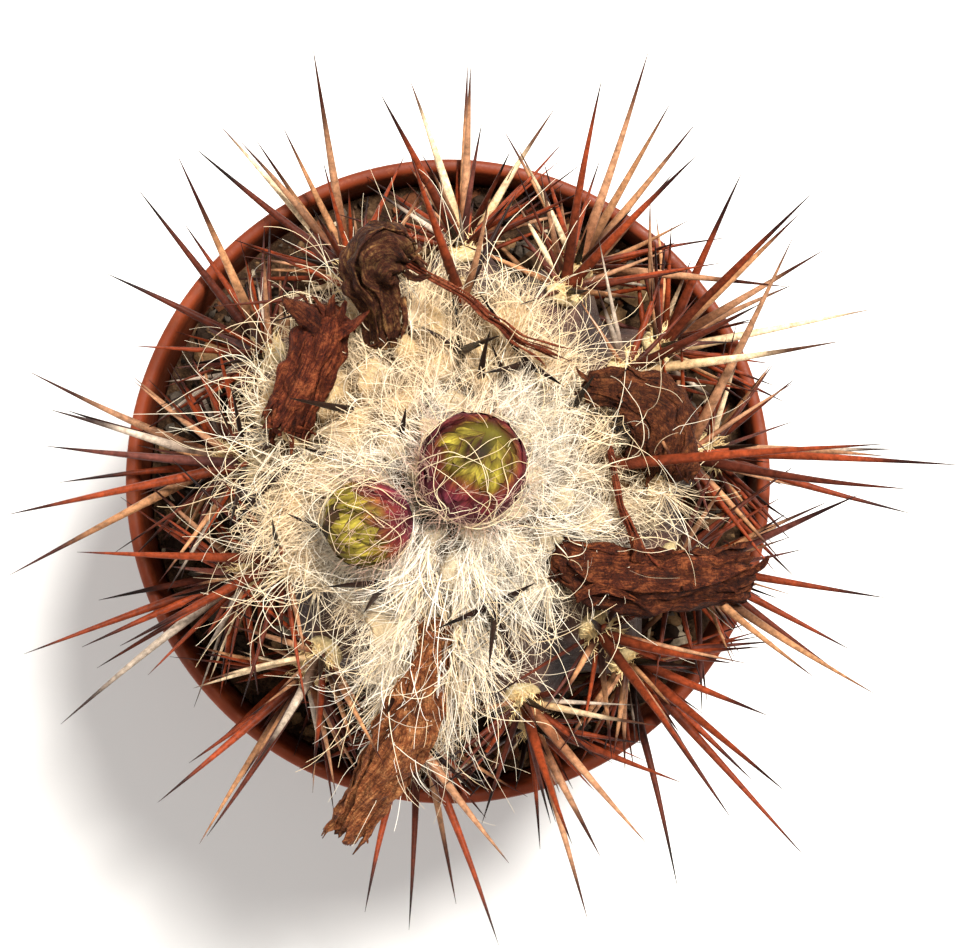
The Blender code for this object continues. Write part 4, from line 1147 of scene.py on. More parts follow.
def wool_edge(angle):
    """Latitude of the wool's ragged lower edge."""
    lowest = WOOL_EDGE
    for centre, width, drop in WOOL_LOBES:
        away = abs((math.degrees(angle) - centre + 180.0) % 360.0 - 180.0)
        lowest -= drop * math.exp(-((away / width) ** 2))
    return lowest + WOOL_RAGGED * noise.noise((math.cos(angle) * 4, math.sin(angle) * 4, 1.0))


def wool_point(angle, latitude):
    """A point on the wool's surface, as in the part's source."""
    edge = wool_edge(angle)
    share = min(max((latitude - edge) / (90.0 - edge), 0.0), 1.0)
    place = (3.0 * math.cos(angle), 3.0 * math.sin(angle), 3.0 * latitude / 40.0)
    thickness = mix(WOOL_EDGE_THICKNESS, WOOL_CROWN_THICKNESS, float(smooth_step(0.0, 0.75, share)))
    thickness += WOOL_LUMPS * noise.noise(place) * min(1.0, 3 * share)
    surface, normal = body_frame(np.array(angle), np.array(latitude))
    height = float(rib_fade(np.array(latitude))) * (RIB_RELIEF + TUBERCLE_RELIEF) + WOOL_GAP + thickness
    return surface + normal * height


def wool_places(angles, shares):
    """Points at shares of the way from the wool's edge to the crown, and the axes there."""
    edges = np.array([wool_edge(a) for a in angles])
    latitudes = mix(edges, 90.0, shares)
    points = np.array([wool_point(a, lat) for a, lat in zip(angles, latitudes)])
    normal, up, across = surface_axes(angles, latitudes)
    return points, normal, -up, across


def sprouts(rng, count, rise, stray, low=0.0, high=1.0, lean=1.0):
    """Random places just under the wool's surface, and ways that stream from the crown in broad swirls."""
    shares = 1 - np.sqrt(1 - mix(low, high, rng.random(count)) * 0.995)
    points, normal, down, across = wool_places(rng.uniform(0, 2 * np.pi, count), np.clip(shares, 0.0, 0.99))
    starts = points - normal * 0.5
    swirl = 1.1 * noise_at(starts, 0.11, 4.0)[:, None]
    ways = normal * rise + down * lean * 0.8 + across * swirl + stray * rng.normal(size=normal.shape)
    return starts, ways


def make_tufts():
    """Middles of the cottony tufts, spread evenly over the wool, and how full each is: a few are bare."""
    rng = np.random.default_rng(SEED + 4)
    order = np.arange(TUFT_CENTRES)
    shares = 1 - np.sqrt(1 - (order + rng.uniform(0.1, 0.9, TUFT_CENTRES)) / TUFT_CENTRES * 0.97)
    angles = order * GOLDEN + rng.normal(size=TUFT_CENTRES) * 0.12
    chance = mix(0.1, 0.8, 0.5 + 0.5 * np.cos(angles - SPARSE_SIDE)) * (1 - smooth_step(0.14, 0.36, shares))
    return wool_places(angles, shares)[0], np.where(rng.random(TUFT_CENTRES) < chance, 0.12, 1.0)


def tuft_share(points, tufts):
    """The nearest tuft, and 0 in the gaps between the tufts to 1 inside them."""
    centres, fullness = tufts
    gaps = np.linalg.norm(points[:, None] - centres[None], axis=-1)
    order = np.argsort(gaps, axis=1)[:, :2]
    near = np.take_along_axis(gaps, order, axis=1)
    inside = smooth_step(0.2, 2.6, near[:, 1] - near[:, 0] + 0.7 * noise_at(points, 0.5))
    return order[:, 0], inside * fullness[order[:, 0]]


def wool_tone(points):
    """Whitest over the growing point and the lower middle, warmer cream towards the edges."""
    away = np.linalg.norm((points[..., :2] - WHITEST) / WHITE_REACH, axis=-1)
    warm = smooth_step(0.5, 1.4, away + 0.6 * noise_at(points, 0.16))[..., None]
    return mix(*tones(WOOL_TONES), warm)


def pressed_under(rings, inward, tree):
    """The surface's points, sunk where a bud or a flower would run through them or below them."""
    flat, ways = rings.reshape(-1, 3), inward.reshape(-1, 3)
    for k, point in enumerate(flat):
        for _ in range(PRESS_STEPS):
            if tree.ray_cast(Vector(point * MM), DOWN, DROP)[0] is None:
                break
            point = point + ways[k] * PRESS_DEPTH
        flat[k] = point
    return flat.reshape(rings.shape)


def make_felt(material, tufts, tree):
    """The matted surface that the hairs grow from, deep between its tufts and under what grows there."""
    angles = full_turn(FELT_COLUMNS)
    shares = np.arange(FELT_ROWS) / FELT_ROWS
    rings = np.array([wool_places(angles, np.full(FELT_COLUMNS, share))[0] for share in shares])
    _, normal = body_frame(*np.meshgrid(angles, np.linspace(40, 88, FELT_ROWS)))
    _, inside = tuft_share(rings.reshape(-1, 3), tufts)
    inside = inside.reshape(rings.shape[:2])
    lumps = mix(*FELT_DEPTHS, inside) + 0.5 * noise_at(rings, 0.4) + 0.35 * noise_at(rings, 1.0)
    rings = pressed_under(rings + normal * (lumps - 0.2)[..., None], -normal, tree)
    rings = np.concatenate([[rings[0] - normal[0]], rings])
    crown = BODY_CENTRE + (0, 0, BODY_RISE + WOOL_GAP + WOOL_CROWN_THICKNESS)
    points = np.concatenate([rings.reshape(-1, 3), [crown]])
    last = np.arange(FELT_COLUMNS) + FELT_ROWS * FELT_COLUMNS
    cap = np.stack([np.full(FELT_COLUMNS, len(points) - 1), last, np.roll(last, -1)], -1)
    # Painted shade: the felt is dark in the gaps between the tufts and pale inside them.
    shade = np.concatenate([inside[0], inside.ravel(), [1.0]])[:, None]
    look = wool_tone(points) * mix(*tones(FELT_PAINTED_SHADES), shade)
    faces = [grid_faces(len(rings), FELT_COLUMNS), cap]
    felt = mesh_piece("wool_felt_base", points, faces, material, look=look)
    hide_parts("crown_wool")
    return felt


def hair_paths(rng, starts, ways, lengths, steps, curl, wander, droop):
    """Paths of hairs that curl, wander and droop as they grow (hair, point, 3)."""
    count = len(starts)
    axis = unit(rng.normal(size=(count, 3)))
    paths = np.empty((count, steps + 1, 3))
    paths[:, 0] = starts
    way = unit(ways)
    drift = rng.normal(size=(count, 3))
    curl = np.broadcast_to(curl, (count,))[:, None]
    for k in range(steps):
        drift = 0.75 * drift + 0.66 * rng.normal(size=(count, 3))
        way = unit(way + curl * np.cross(axis, way) + wander * drift + (0, 0, -droop))
        paths[:, k + 1] = paths[:, k] + way * (lengths / steps)[:, None]
    return paths


def keep_outside(paths, trees, lift, rounds=1):
    """Bends hairs round the pieces that they would run into, and evens them out between the rounds."""
    for turn in range(rounds):
        if turn:
            paths[:, 1:-1] = 0.25 * paths[:, :-2] + 0.5 * paths[:, 1:-1] + 0.25 * paths[:, 2:]
        flat = paths[:, 1:].reshape(-1, 3).copy()
        for tree in trees:
            for k, point in enumerate(flat):
                near, normal, _, _ = tree.find_nearest(Vector(point * MM), SEARCH * MM)
                if near is not None and (Vector(point * MM) - near).dot(normal) < lift * MM:
                    flat[k] = np.array(near) / MM + np.array(normal) * lift
        paths[:, 1:] = flat.reshape(paths[:, 1:].shape)
    return paths


def shows_over(paths, tree):
    """True for each hair that passes over the tree's pieces, seen from above."""
    points = (paths.reshape(-1, 3) * MM).tolist()
    hits = [tree.ray_cast(Vector(p), DOWN, DROP)[0] is not None for p in points]
    return np.array(hits).reshape(paths.shape[:2]).any(axis=1)


def clump(paths, guides, strength):
    """Draws each hair towards its nearest guide, more and more towards its tip."""
    owner = np.empty(len(paths), int)
    for k in range(0, len(paths), CLUMP_BATCH):
        batch = slice(k, k + CLUMP_BATCH)
        gap = paths[batch, None, 0] - guides[None, :, 0]
        owner[batch] = (gap**2).sum(-1).argmin(1)
    pull = strength[:, None] * np.linspace(0, 1, paths.shape[1]) ** 1.3
    return paths + (guides[owner] - paths) * pull[..., None]


def hair_radii(rng, paths, radius, tip, spread):
    """Radii that taper to a share of the first at the tip, times a factor for each hair."""
    taper = radius * np.linspace(1.0, tip, paths.shape[1])[None]
    return taper * rng.uniform(*spread, (len(paths), 1))


def wool_tones(rng, paths, spread, shade=1.0):
    """The wool's tone along each hair, times a factor for each."""
    return np.clip(wool_tone(paths) * shade * rng.uniform(*spread, (len(paths), 1, 1)), 0, 1)


def hair_tones(rng, paths, pair, power=1):
    """One colour for each hair, between two, nearer the first for a higher power."""
    mixed = mix(*tones(pair), rng.random((len(paths), 1, 1)) ** power)
    return np.broadcast_to(mixed, (*paths.shape[:2], 3))


def make_fuzz(trees, kept_clear, tufts, hair):
    """The fine white hairs that cover the crown, in cottony tufts."""
    rng = np.random.default_rng(SEED + 5)
    starts, ways = sprouts(rng, FUZZ_GUIDES, 0.55, 0.3)
    leans = 0.5 * rng.normal(size=tufts[0].shape)
    ways = ways + leans[tuft_share(starts, tufts)[0]]
    lengths = rng.uniform(4.0, 8.5, FUZZ_GUIDES)
    guides = hair_paths(rng, starts, ways, lengths, FUZZ_STEPS, 0.16, 0.16, 0.04)
    for k in range(FUZZ_PIECES):
        starts, ways = sprouts(rng, FUZZ_EACH, 0.5, 0.45)
        owner, inside = tuft_share(starts, tufts)
        ways = ways + 0.12 * (starts - tufts[0][owner]) * (1 - inside)[:, None] + leans[owner]
        lengths = mix(1.4, 6.8, inside) * rng.uniform(0.6, 1.3, FUZZ_EACH)
        curls = rng.uniform(0.1, 0.8, FUZZ_EACH)
        paths = hair_paths(rng, starts, ways, lengths, FUZZ_STEPS, curls, 0.4, 0.04)
        paths = clump(paths, guides, rng.uniform(0.05, 0.5, FUZZ_EACH))
        paths = keep_outside(paths, trees, 0.12)
        kept = ~shows_over(paths, kept_clear) | (rng.random(FUZZ_EACH) < 0.03)
        kept &= rng.random(FUZZ_EACH) < 0.15 + 2.2 * inside
        paths, inside = paths[kept], inside[kept]
        radii = hair_radii(rng, paths, 0.03, 0.4, (0.6, 1.25))
        # Painted shade: the hairs are darker in the gaps between the tufts and towards their roots.
        shade = mix(0.45, 1.0, inside)[:, None] * np.linspace(0.78, 1.06, FUZZ_STEPS + 1)
        colours = wool_tones(rng, paths, (0.92, 1.08), shade[..., None])
        tube_piece(f"wool_fuzz_{k + 1}", paths, radii, colours, hair, 2, rng)


def make_locks(trees, kept_clear, hair):
    """Tapering locks where the part's source has its tufts."""
    source = np.random.default_rng(SEED + 6)
    rng = np.random.default_rng(SEED + 7)
    starts, ends = [], []
    for i in range(TUFTS):
        angle = i * GOLDEN
        share = 0.06 + 0.72 * (i / TUFTS) ** 0.9
        latitude = mix(wool_edge(angle), 90.0, share)
        normal, up, across = surface_axes(np.array(angle), np.array(latitude))
        root = wool_point(angle, latitude) - normal * 0.7
        way = unit(across * source.uniform(-0.5, 0.5) - up)
        length = mix(*TUFT_LENGTHS, share) * source.uniform(0.8, 1.25)
        tip = root + unit(way * 0.85 + normal * source.uniform(0.5, 0.8)) * length
        spread = across * rng.uniform(-TUFT_HALF_WIDTH, TUFT_HALF_WIDTH, (LOCK_HAIRS, 1))
        starts.append(root + spread + (normal + up * 1.2) * rng.uniform(-0.2, 1.0, (LOCK_HAIRS, 1)))
        ends.append(tip + 0.7 * rng.normal(size=(LOCK_HAIRS, 3)))
    starts, ends = np.concatenate(starts), np.concatenate(ends)
    lengths = np.linalg.norm(ends - starts, axis=1) * rng.uniform(0.8, 1.3, len(starts))
    paths = hair_paths(rng, starts, ends - starts, lengths, LOCK_STEPS, 0.12, 0.13, 0.02)
    paths = keep_outside(paths, trees, 0.12)
    paths = paths[~shows_over(paths, kept_clear)]
    radii = hair_radii(rng, paths, 0.05, 0.3, (0.6, 1.25))
    tube_piece("wool_locks", paths, radii, wool_tones(rng, paths, (0.92, 1.1)), hair, 2, rng)


def make_wisps(trees, kept_clear, hair):
    """Fine curly hairs that stray over the tufts."""
    rng = np.random.default_rng(SEED + 9)
    starts, ways = sprouts(rng, WISPS, 0.8, 0.6)
    lengths, curls = rng.uniform(5.0, 12.0, WISPS), rng.uniform(0.05, 0.4, WISPS)
    paths = hair_paths(rng, starts, ways, lengths, WISP_STEPS, curls, 0.12, 0.02)
    paths = keep_outside(paths, trees, 0.15)
    paths = paths[~shows_over(paths, kept_clear) | (rng.random(WISPS) < 0.12)]
    radii = hair_radii(rng, paths, 0.04, 0.5, (0.8, 1.3))
    tube_piece("wool_wisps", paths, radii, wool_tones(rng, paths, (0.95, 1.12)), hair, 2, rng)


def make_apron(trees, kept_clear, hair):
    """The white hairs that stream down both sides of the flower which hangs over the rim."""
    rng = np.random.default_rng(SEED + 10)
    angles = np.radians(APRON_ANGLE + APRON_HALF * rng.uniform(-1, 1, APRON_HAIRS))
    points, normal, down, _ = wool_places(angles, rng.uniform(0.0, 0.75, APRON_HAIRS))
    ways = down + normal * 0.4 + 0.22 * rng.normal(size=normal.shape)
    lengths, curls = rng.uniform(7.0, 17.0, APRON_HAIRS), rng.uniform(0.0, 0.14, APRON_HAIRS)
    paths = hair_paths(rng, points - normal * 0.4, ways, lengths, APRON_STEPS, curls, 0.06, 0.05)
    paths = clump(paths, paths[:APRON_GUIDES].copy(), rng.uniform(0.1, 0.6, APRON_HAIRS))
    paths = keep_outside(paths, trees, 0.2, rounds=2)
    paths = paths[~shows_over(paths, kept_clear) | (rng.random(APRON_HAIRS) < 0.42)]
    radii = hair_radii(rng, paths, 0.06, 0.4, (0.7, 1.3))
    colours = hair_tones(rng, paths, APRON_TONES, 2)
    tube_piece("wool_apron", paths, radii, colours, hair, 2, rng)


def make_long_hairs(trees, kept_clear, hair):
    """Long, curly cream hairs that stray over the wool, the flowers and the spines."""
    rng = np.random.default_rng(SEED + 8)
    bundle = []
    for count, (low, high), lean, lengths, curls in STRAYS:
        starts, ways = sprouts(rng, count, 0.6, 0.35, low, high, lean)
        length, curl = rng.uniform(*lengths, count), rng.uniform(*curls, count)
        paths = hair_paths(rng, starts, ways, length, STRAY_STEPS, curl, 0.05, 0.02)
        paths = keep_outside(paths, trees, 0.25, rounds=3)
        side = np.arctan2(starts[:, 1] - BODY_CENTRE[1], starts[:, 0] - BODY_CENTRE[0])
        dense = rng.random(count) < 0.36 + 0.55 * np.exp(-(((np.abs(side) - np.pi) / DENSE_HALF) ** 2))
        bundle.append(paths[dense & (~shows_over(paths, kept_clear) | (rng.random(count) < 0.3))])
    paths = np.concatenate(bundle)
    radii = hair_radii(rng, paths, 0.082, 0.3, (0.65, 1.15))
    colours = hair_tones(rng, paths, STRAY_TONES)
    tube_piece("wool_long_hairs", paths, radii, colours, hair, 3, rng)


# Buds

# The outline: shares of the length and of the radius
BUD_SHAPE = (
    (0.0, 0.0), (0.03, 0.36), (0.13, 0.68), (0.28, 0.9), (0.45, 1.0),
    (0.62, 0.98), (0.78, 0.84), (0.91, 0.54), (1.0, 0.0),
)

# Name, foot, tip, radius, seed, then the point that the bud is ripest under and how fast that fades
BUDS = (
    ("bud_large", (0.7, -2.7, 103.8), (5.8, 6.0, 113.4), 6.1, 31, (4.4, 3.6, 115.0), 3.0),
    ("bud_small", (-3.6, -3.8, 107.0), (-14.2, -5.7, 107.4), 4.9, 32, (-14.2, -6.6, 108.8), 0.55),
)

# Colours from the side that is turned away (0) to the ripest point (1)
BUD_TONES = (
    (0.0, (104, 52, 72)), (0.3, (122, 52, 68)), (0.52, (130, 48, 50)), (0.64, (134, 74, 42)),
    (0.74, (138, 116, 38)), (0.87, (184, 168, 64)), (0.95, (138, 122, 40)), (1.0, (62, 44, 20)),
)

# Rows of scales: where they start, how many, how tall they are, and how many hairs each scale bears. Starts
# and heights are shares of the bud's length.
SCALE_ROWS = (
    (0.02, 7, 0.42, 20), (0.12, 8, 0.4, 20), (0.22, 8, 0.38, 16), (0.32, 8, 0.36, 12), (0.42, 8, 0.34, 8),
    (0.52, 8, 0.3, 6), (0.61, 7, 0.27, 4), (0.7, 6, 0.22, 2), (0.78, 5, 0.18, 0), (0.86, 4, 0.12, 0),
)
BUD_RINGS, BUD_SIDES = 36, 48
# The core's share of the scales' width, and the share of the bud's colour that it keeps under painted shade
CORE_WIDTH, CORE_PAINTED_SHADE = 0.97, 0.3
SCALE_GRID, SCALE_SPREAD = (12, 9), 2.5
BUD_HAIR_STEPS = 8
VEIL_HAIRS, VEIL_STEPS = 28, 20
BUD_HAIR_TONE = (214, 178, 156)
VEIL_TONES = ((255, 244, 208), (248, 220, 174))
SCALE_EDGE = (78, 34, 34)

# The counts of hairs are those of a bud of this radius
FULL_RADIUS = 6.1


def bud_radius(shares):
    return np.interp(shares, [p[0] for p in BUD_SHAPE], [p[1] for p in BUD_SHAPE])


def hair_count(full, radius):
    """How many hairs a bud of some radius has where one of FULL_RADIUS has the full number."""
    return round(full * (radius / FULL_RADIUS) ** 3)


def bud_axes(foot, tip, radius):
    """A bud's foot, its axis, the two ways across it, its length and its radius."""
    foot, tip = np.array(foot), np.array(tip)
    axis = unit(tip - foot)
    across = unit(np.cross(axis, (0.3, 0.2, 1.0)))
    return foot, axis, across, np.cross(axis, across), float(np.linalg.norm(tip - foot)), radius


def ripeness(points, form, crown, fade):
    """From 0 to 1, how near each point of a bud is to its ripest point."""
    foot, axis, _, _, length, _ = form
    middle = foot + axis * length / 2
    return np.clip(0.5 + 0.5 * unit(points - middle) @ unit(np.array(crown) - middle), 0, 1) ** fade


def bud_colour(shares):
    """Mauve, then crimson and orange-brown, then olive-yellow towards the dark tip."""
    places = [place for place, _ in BUD_TONES]
    colours = np.array(tones(tone for _, tone in BUD_TONES))
    return np.stack([np.interp(shares, places, channel) for channel in colours.T], -1)


def make_bud(name, foot, tip, radius, seed, crown, fade, skin, hair, trees):
    """A core darkened by painted shade under rows of scales, with short hairs and a veil of long ones."""
    rng = np.random.default_rng(seed)
    form = bud_axes(foot, tip, radius)
    foot, axis, across, other, length, _ = form
    heap = Heap()
    shares = np.linspace(0.01, 0.995, BUD_RINGS)
    turn = full_turn(BUD_SIDES)
    way = across * np.cos(turn)[:, None] + other * np.sin(turn)[:, None]
    widths = bud_radius(shares) * radius * CORE_WIDTH
    rings = foot + axis * (shares * length)[:, None, None] + way[None] * widths[:, None, None]
    points, faces = closed_grid(rings, foot, foot + axis * length)
    heap.add(points, faces, bud_colour(ripeness(points, form, crown, fade)) * CORE_PAINTED_SHADE)
    starts, ways = [], []
    for level, (low, count, tall, hairs) in enumerate(SCALE_ROWS):
        for k in range(count):
            centre = 2 * math.pi * (k + 0.5 * (level % 2) + rng.uniform(-0.12, 0.12)) / count
            height = tall * rng.uniform(0.85, 1.15)
            add_scale(heap, form, low, height, centre, SCALE_SPREAD / count, (crown, fade), rng)
            spot = low + 0.08
            out = across * math.cos(centre) + other * math.sin(centre)
            base = foot + axis * spot * length + out * bud_radius(spot) * radius
            number = hair_count(hairs, radius)
            starts.append(base + 0.45 * rng.normal(size=(number, 3)))
            ways.append(out * 0.6 + axis * 0.8 + 0.45 * rng.normal(size=(number, 3)))
    bud = heap.piece(name + "_scales", skin, "bud_skin")
    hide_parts(name)
    own = tree_of(bud)
    starts, ways = np.concatenate(starts), np.concatenate(ways)
    lengths, curls = rng.uniform(2.0, 6.5, len(starts)), rng.uniform(0.03, 0.3, len(starts))
    paths = hair_paths(rng, starts, ways, lengths, BUD_HAIR_STEPS, curls, 0.12, 0.0)
    paths = keep_outside(paths, [own, *trees], 0.12)
    radii = hair_radii(rng, paths, 0.028, 0.35, (0.8, 1.3))
    colours = np.broadcast_to(rgb(*BUD_HAIR_TONE), (*paths.shape[:2], 3))
    tube_piece(name + "_hairs", paths, radii, colours, hair, 3, rng)
    make_veil(name, form, [own], hair, rng)


def make_veil(name, form, trees, hair, rng):
    """Long cream hairs that rise round the foot and cross over the bud, each by its own way."""
    foot, axis, across, other, length, radius = form
    steps = np.linspace(0, 1, VEIL_STEPS + 1)[:, None]
    paths = []
    for _ in range(hair_count(VEIL_HAIRS, radius)):
        first, turned = rng.uniform(0, 2 * np.pi), rng.uniform(0.5, 2.6) * rng.choice((-1, 1))
        ends = []
        for turn, rise in ((first, rng.uniform(-0.9, -0.3)), (first + turned, rng.uniform(-0.2, 1.3))):
            out = across * math.cos(turn) + other * math.sin(turn)
            ends.append(unit(out * math.cos(rise) + axis * math.sin(rise)))
        middle = unit(unit(ends[0] + ends[1] + axis * rng.uniform(0.0, 0.9)) + 0.25 * rng.normal(size=3))
        way = unit(ends[0] * (1 - steps) ** 2 + 2.4 * middle * steps * (1 - steps) + ends[1] * steps**2)
        rise = (way @ axis)[:, None]
        bulge = radius * (way - axis * rise) + axis * rise * length * 0.5
        bulge = bulge * (1.04 + 0.16 * rng.random() * np.sin(np.pi * steps))
        paths.append(foot + axis * length * 0.5 + bulge)
    paths = np.array(paths)
    own = 7.0 * np.arange(len(paths))[:, None, None]
    paths = paths + 1.3 * np.stack([noise_at(paths + own, 0.3, s) for s in (5.0, 11.0, 23.0)], -1)
    paths = keep_outside(paths, trees, 0.15, rounds=3)
    radii = hair_radii(rng, paths, 0.082, 0.4, (0.6, 1.15))
    colours = hair_tones(rng, paths, VEIL_TONES)
    tube_piece(name + "_long_hairs", paths, radii, colours, hair, 3, rng)


def add_scale(heap, form, low, tall, centre, half, ripest, rng):
    """One narrow pointed scale that lies on the bud, ridged lengthwise, and lifts at its tip."""
    foot, axis, across, other, length, radius = form
    v, u = sheet_grid(*SCALE_GRID)
    shares = np.clip(low + tall * v * (1 - 0.05 * u**2), 0.0, 0.99)
    spread = half * 1.25 * (1 - v**1.7) ** 0.8 * (0.8 + 0.4 * v)
    turn = centre + u * spread + 0.06 * rng.normal() + 0.1 * rng.normal() * v
    ring = np.maximum(bud_radius(shares), 0.1) * radius
    ridge = 0.06 * np.cos(u * 7.0 + rng.uniform(0, 6)) * (1 - v)
    lift = 0.08 + 0.42 * v**2.5 - 0.14 * u**2 + ridge + 0.05 * rng.normal()
    way = across * np.cos(turn)[..., None] + other * np.sin(turn)[..., None]
    points = foot + axis * (shares * length)[..., None] + way * (ring + lift)[..., None]
    streak = noise_at(np.stack([u * 3.5, v * 0.9, np.full_like(u, rng.uniform(0, 50))], -1))
    ripe = ripeness(points, form, *ripest)
    tint = bud_colour(np.clip(ripe + 0.05 * rng.normal() + 0.12 * streak, 0, 1))
    edge = np.clip(np.abs(u) ** 2 * 0.5 + v**4 * 0.6, 0, 1)[..., None]
    colour = mix(tint, rgb(*SCALE_EDGE), 0.6 * edge)
    # Painted shade: each scale darkens towards its sides, where they dip under the next scales; the streaks
    # are its own.
    shade = 0.6 + 0.35 * np.exp(-((u * 1.8) ** 2)) + 0.75 * streak
    colour = colour * shade[..., None] * rng.uniform(0.7, 1.15)
    uv = np.stack([(centre + u * spread) * radius, shares * length], -1)
    heap.add(points, [grid_faces(*SCALE_GRID, closed=False)], np.clip(colour, 0.004, 1).reshape(-1, 3), uv)


# Dried flowers

# Routes and widths as in the part's source. "tones" run from dark to pale, "grain" is how short the fibres
# are, and "flare" is how far the petals open (or close, below 0) at the mouth, as a share of the width.
# "shreds" are the torn strips there and at the foot, and "flaps" are single strips: their route, half width
# and tint.
FLOWERS = (
    {
        "name": "dried_flower_1",
        "route": ((-7.2, 16.4, 100.6), (-7.6, 20.2, 103.2), (-8.6, 24.6, 106.0), (-6.7, 26.9, 107.6),
                  (-3.8, 25.9, 106.2)),
        "widths": (1.5, 1.8, 2.8, 3.3, 2.6), "flat": 0.8, "facing": (-0.2, 0.4, 0.9),
        "strand": ((-5.6, 26.0, 107.0), (1.6, 22.0, 107.4), (8.3, 17.2, 105.6), (13.7, 14.9, 103.6)),
        "tones": ((30, 15, 12), (78, 40, 26), (140, 104, 64)),
        "grain": 0.6, "petals": 5, "flare": -0.7, "shreds": (4, 3),
        "flaps": (
            (((-9.0, 25.4, 106.2), (-10.6, 23.0, 105.0), (-9.9, 20.0, 103.4)), 1.4, 0.85),
            (((-5.0, 21.8, 103.8), (-4.6, 19.4, 103.4), (-5.2, 17.0, 102.4)), 0.45, 1.5),
            (((-3.6, 26.0, 107.0), (-2.6, 24.6, 107.2), (-2.9, 23.4, 106.6)), 0.6, 0.8),
        ),
    },
    {
        "name": "dried_flower_2",
        "route": ((-13.2, 20.0, 103.0), (-14.6, 16.6, 103.0), (-17.0, 11.5, 102.0), (-19.0, 6.4, 100.8)),
        "widths": (2.3, 2.7, 2.8, 2.1), "flat": 0.75, "facing": (0.2, 0.1, 1.0), "strand": None,
        "tones": ((34, 14, 12), (90, 38, 22), (152, 84, 50)),
        "grain": 0.5, "petals": 5, "flare": 0.25, "shreds": (10, 4),
        "flaps": (
            (((-13.6, 17.8, 104.6), (-16.2, 19.8, 105.2), (-18.9, 21.8, 104.6)), 1.5, 0.6),
            (((-12.8, 17.6, 104.4), (-11.0, 18.4, 105.2), (-8.8, 20.2, 105.4)), 1.0, 1.35),
            (((-13.6, 18.6, 104.4), (-13.2, 20.4, 105.4), (-12.8, 22.0, 105.6)), 0.6, 0.75),
            (((-12.8, 18.4, 104.4), (-12.0, 19.8, 105.2), (-11.5, 21.2, 105.6)), 0.5, 0.9),
        ),
    },
    {
        "name": "dried_flower_3",
        "route": ((17.0, 11.4, 101.6), (21.6, 10.8, 102.4), (25.2, 8.2, 101.6), (26.0, 4.8, 100.2),
                  (25.2, 1.6, 98.8)),
        "widths": (1.6, 2.4, 3.3, 3.6, 3.3), "flat": 0.4, "facing": (0.25, 0.1, 1.0), "strand": None,
        "tones": ((32, 15, 11), (82, 40, 22), (134, 80, 46)),
        "grain": 1.0, "petals": 5, "flare": 0.1, "shreds": (5, 3),
        "flaps": (),
    },
    {
        "name": "dried_flower_4",
        "route": ((13.2, -9.0, 102.6), (19.0, -11.0, 102.0), (25.0, -11.9, 100.4), (31.0, -11.6, 98.0),
                  (36.0, -10.8, 96.0)),
        "widths": (1.8, 3.0, 3.3, 2.9, 2.5), "flat": 0.62, "facing": (0.1, -0.1, 1.0),
        "strand": ((19.4, 4.0, 102.6), (20.6, -2.0, 103.2), (22.4, -7.4, 102.6), (23.2, -11.2, 101.0)),
        "tones": ((26, 11, 9), (70, 30, 16), (134, 74, 42)),
        "grain": 0.7, "petals": 6, "flare": 0.15, "shreds": (6, 5),
        "flaps": (
            (((15.4, -13.6, 102.6), (18.4, -12.4, 104.4), (22.6, -13.8, 103.2)), 0.6, 1.5),
            (((22.6, -9.4, 103.6), (22.9, -7.8, 104.4), (22.4, -6.0, 104.2)), 0.7, 1.5),
        ),
    },
    {
        "name": "dried_flower_5",
        "route": ((-0.6, -16.6, 102.0), (-2.0, -22.5, 100.4), (-4.6, -29.6, 96.2), (-8.7, -37.3, 90.6),
                  (-12.2, -43.2, 86.4)),
        "widths": (1.7, 1.9, 3.1, 2.5, 1.6), "flat": 0.75, "facing": (0.0, -0.4, 0.9), "strand": None,
        "tones": ((62, 28, 16), (130, 72, 40), (190, 132, 84)),
        "grain": 0.3, "petals": 6, "flare": 0.3, "shreds": (7, 8),
        "flaps": (),
    },
)

# The tube: how deep its creases and folds are, as shares of its width, how ragged its mouth is, its grid of
# points, and the rows of the hollow, which starts at this share of the route
CREASES, FOLDS = 0.3, 0.12
TORN_EDGE = 2.6
FLOWER_ROWS, FLOWER_SIDES = 64, 84
MOUTH_ROWS, MOUTH_DEPTH = 12, 0.66

# Thin sheets: their thickness and their grids of points
SHEET = 0.13
PETAL_GRID = (34, 11)
STRIP_COLUMNS, FLAP_ROWS, SHRED_STEPS = 5, 16, 9
FLAP_FACING = (0.1, 0.2, 1.0)

STRAND_STEPS, STRAND_SIDES = 44, 6
STRAND_RADII = np.array([0.25, 0.17, 0.15, 0.13, 0.12, 0.1, 0.1])[:, None]


def route_frames(route, shares, facing):
    """Points of a curve, its direction, and the axes over and beside it, straight on past its ends."""
    inside = np.clip(shares, 0.0, 1.0)
    points, ahead = curve_points(route, inside)
    points = points + ahead * ((shares - inside) * path_length(route))[:, None]
    over = unit(facing - ahead * (ahead @ facing)[:, None])
    return points, ahead, over, np.cross(over, ahead)


def half_widths(flower, shares):
    """Half of a flower's width at shares of its route."""
    return curve_points([(w, 0, 0) for w in flower["widths"]], np.clip(shares, 0, 1))[0][:, 0]


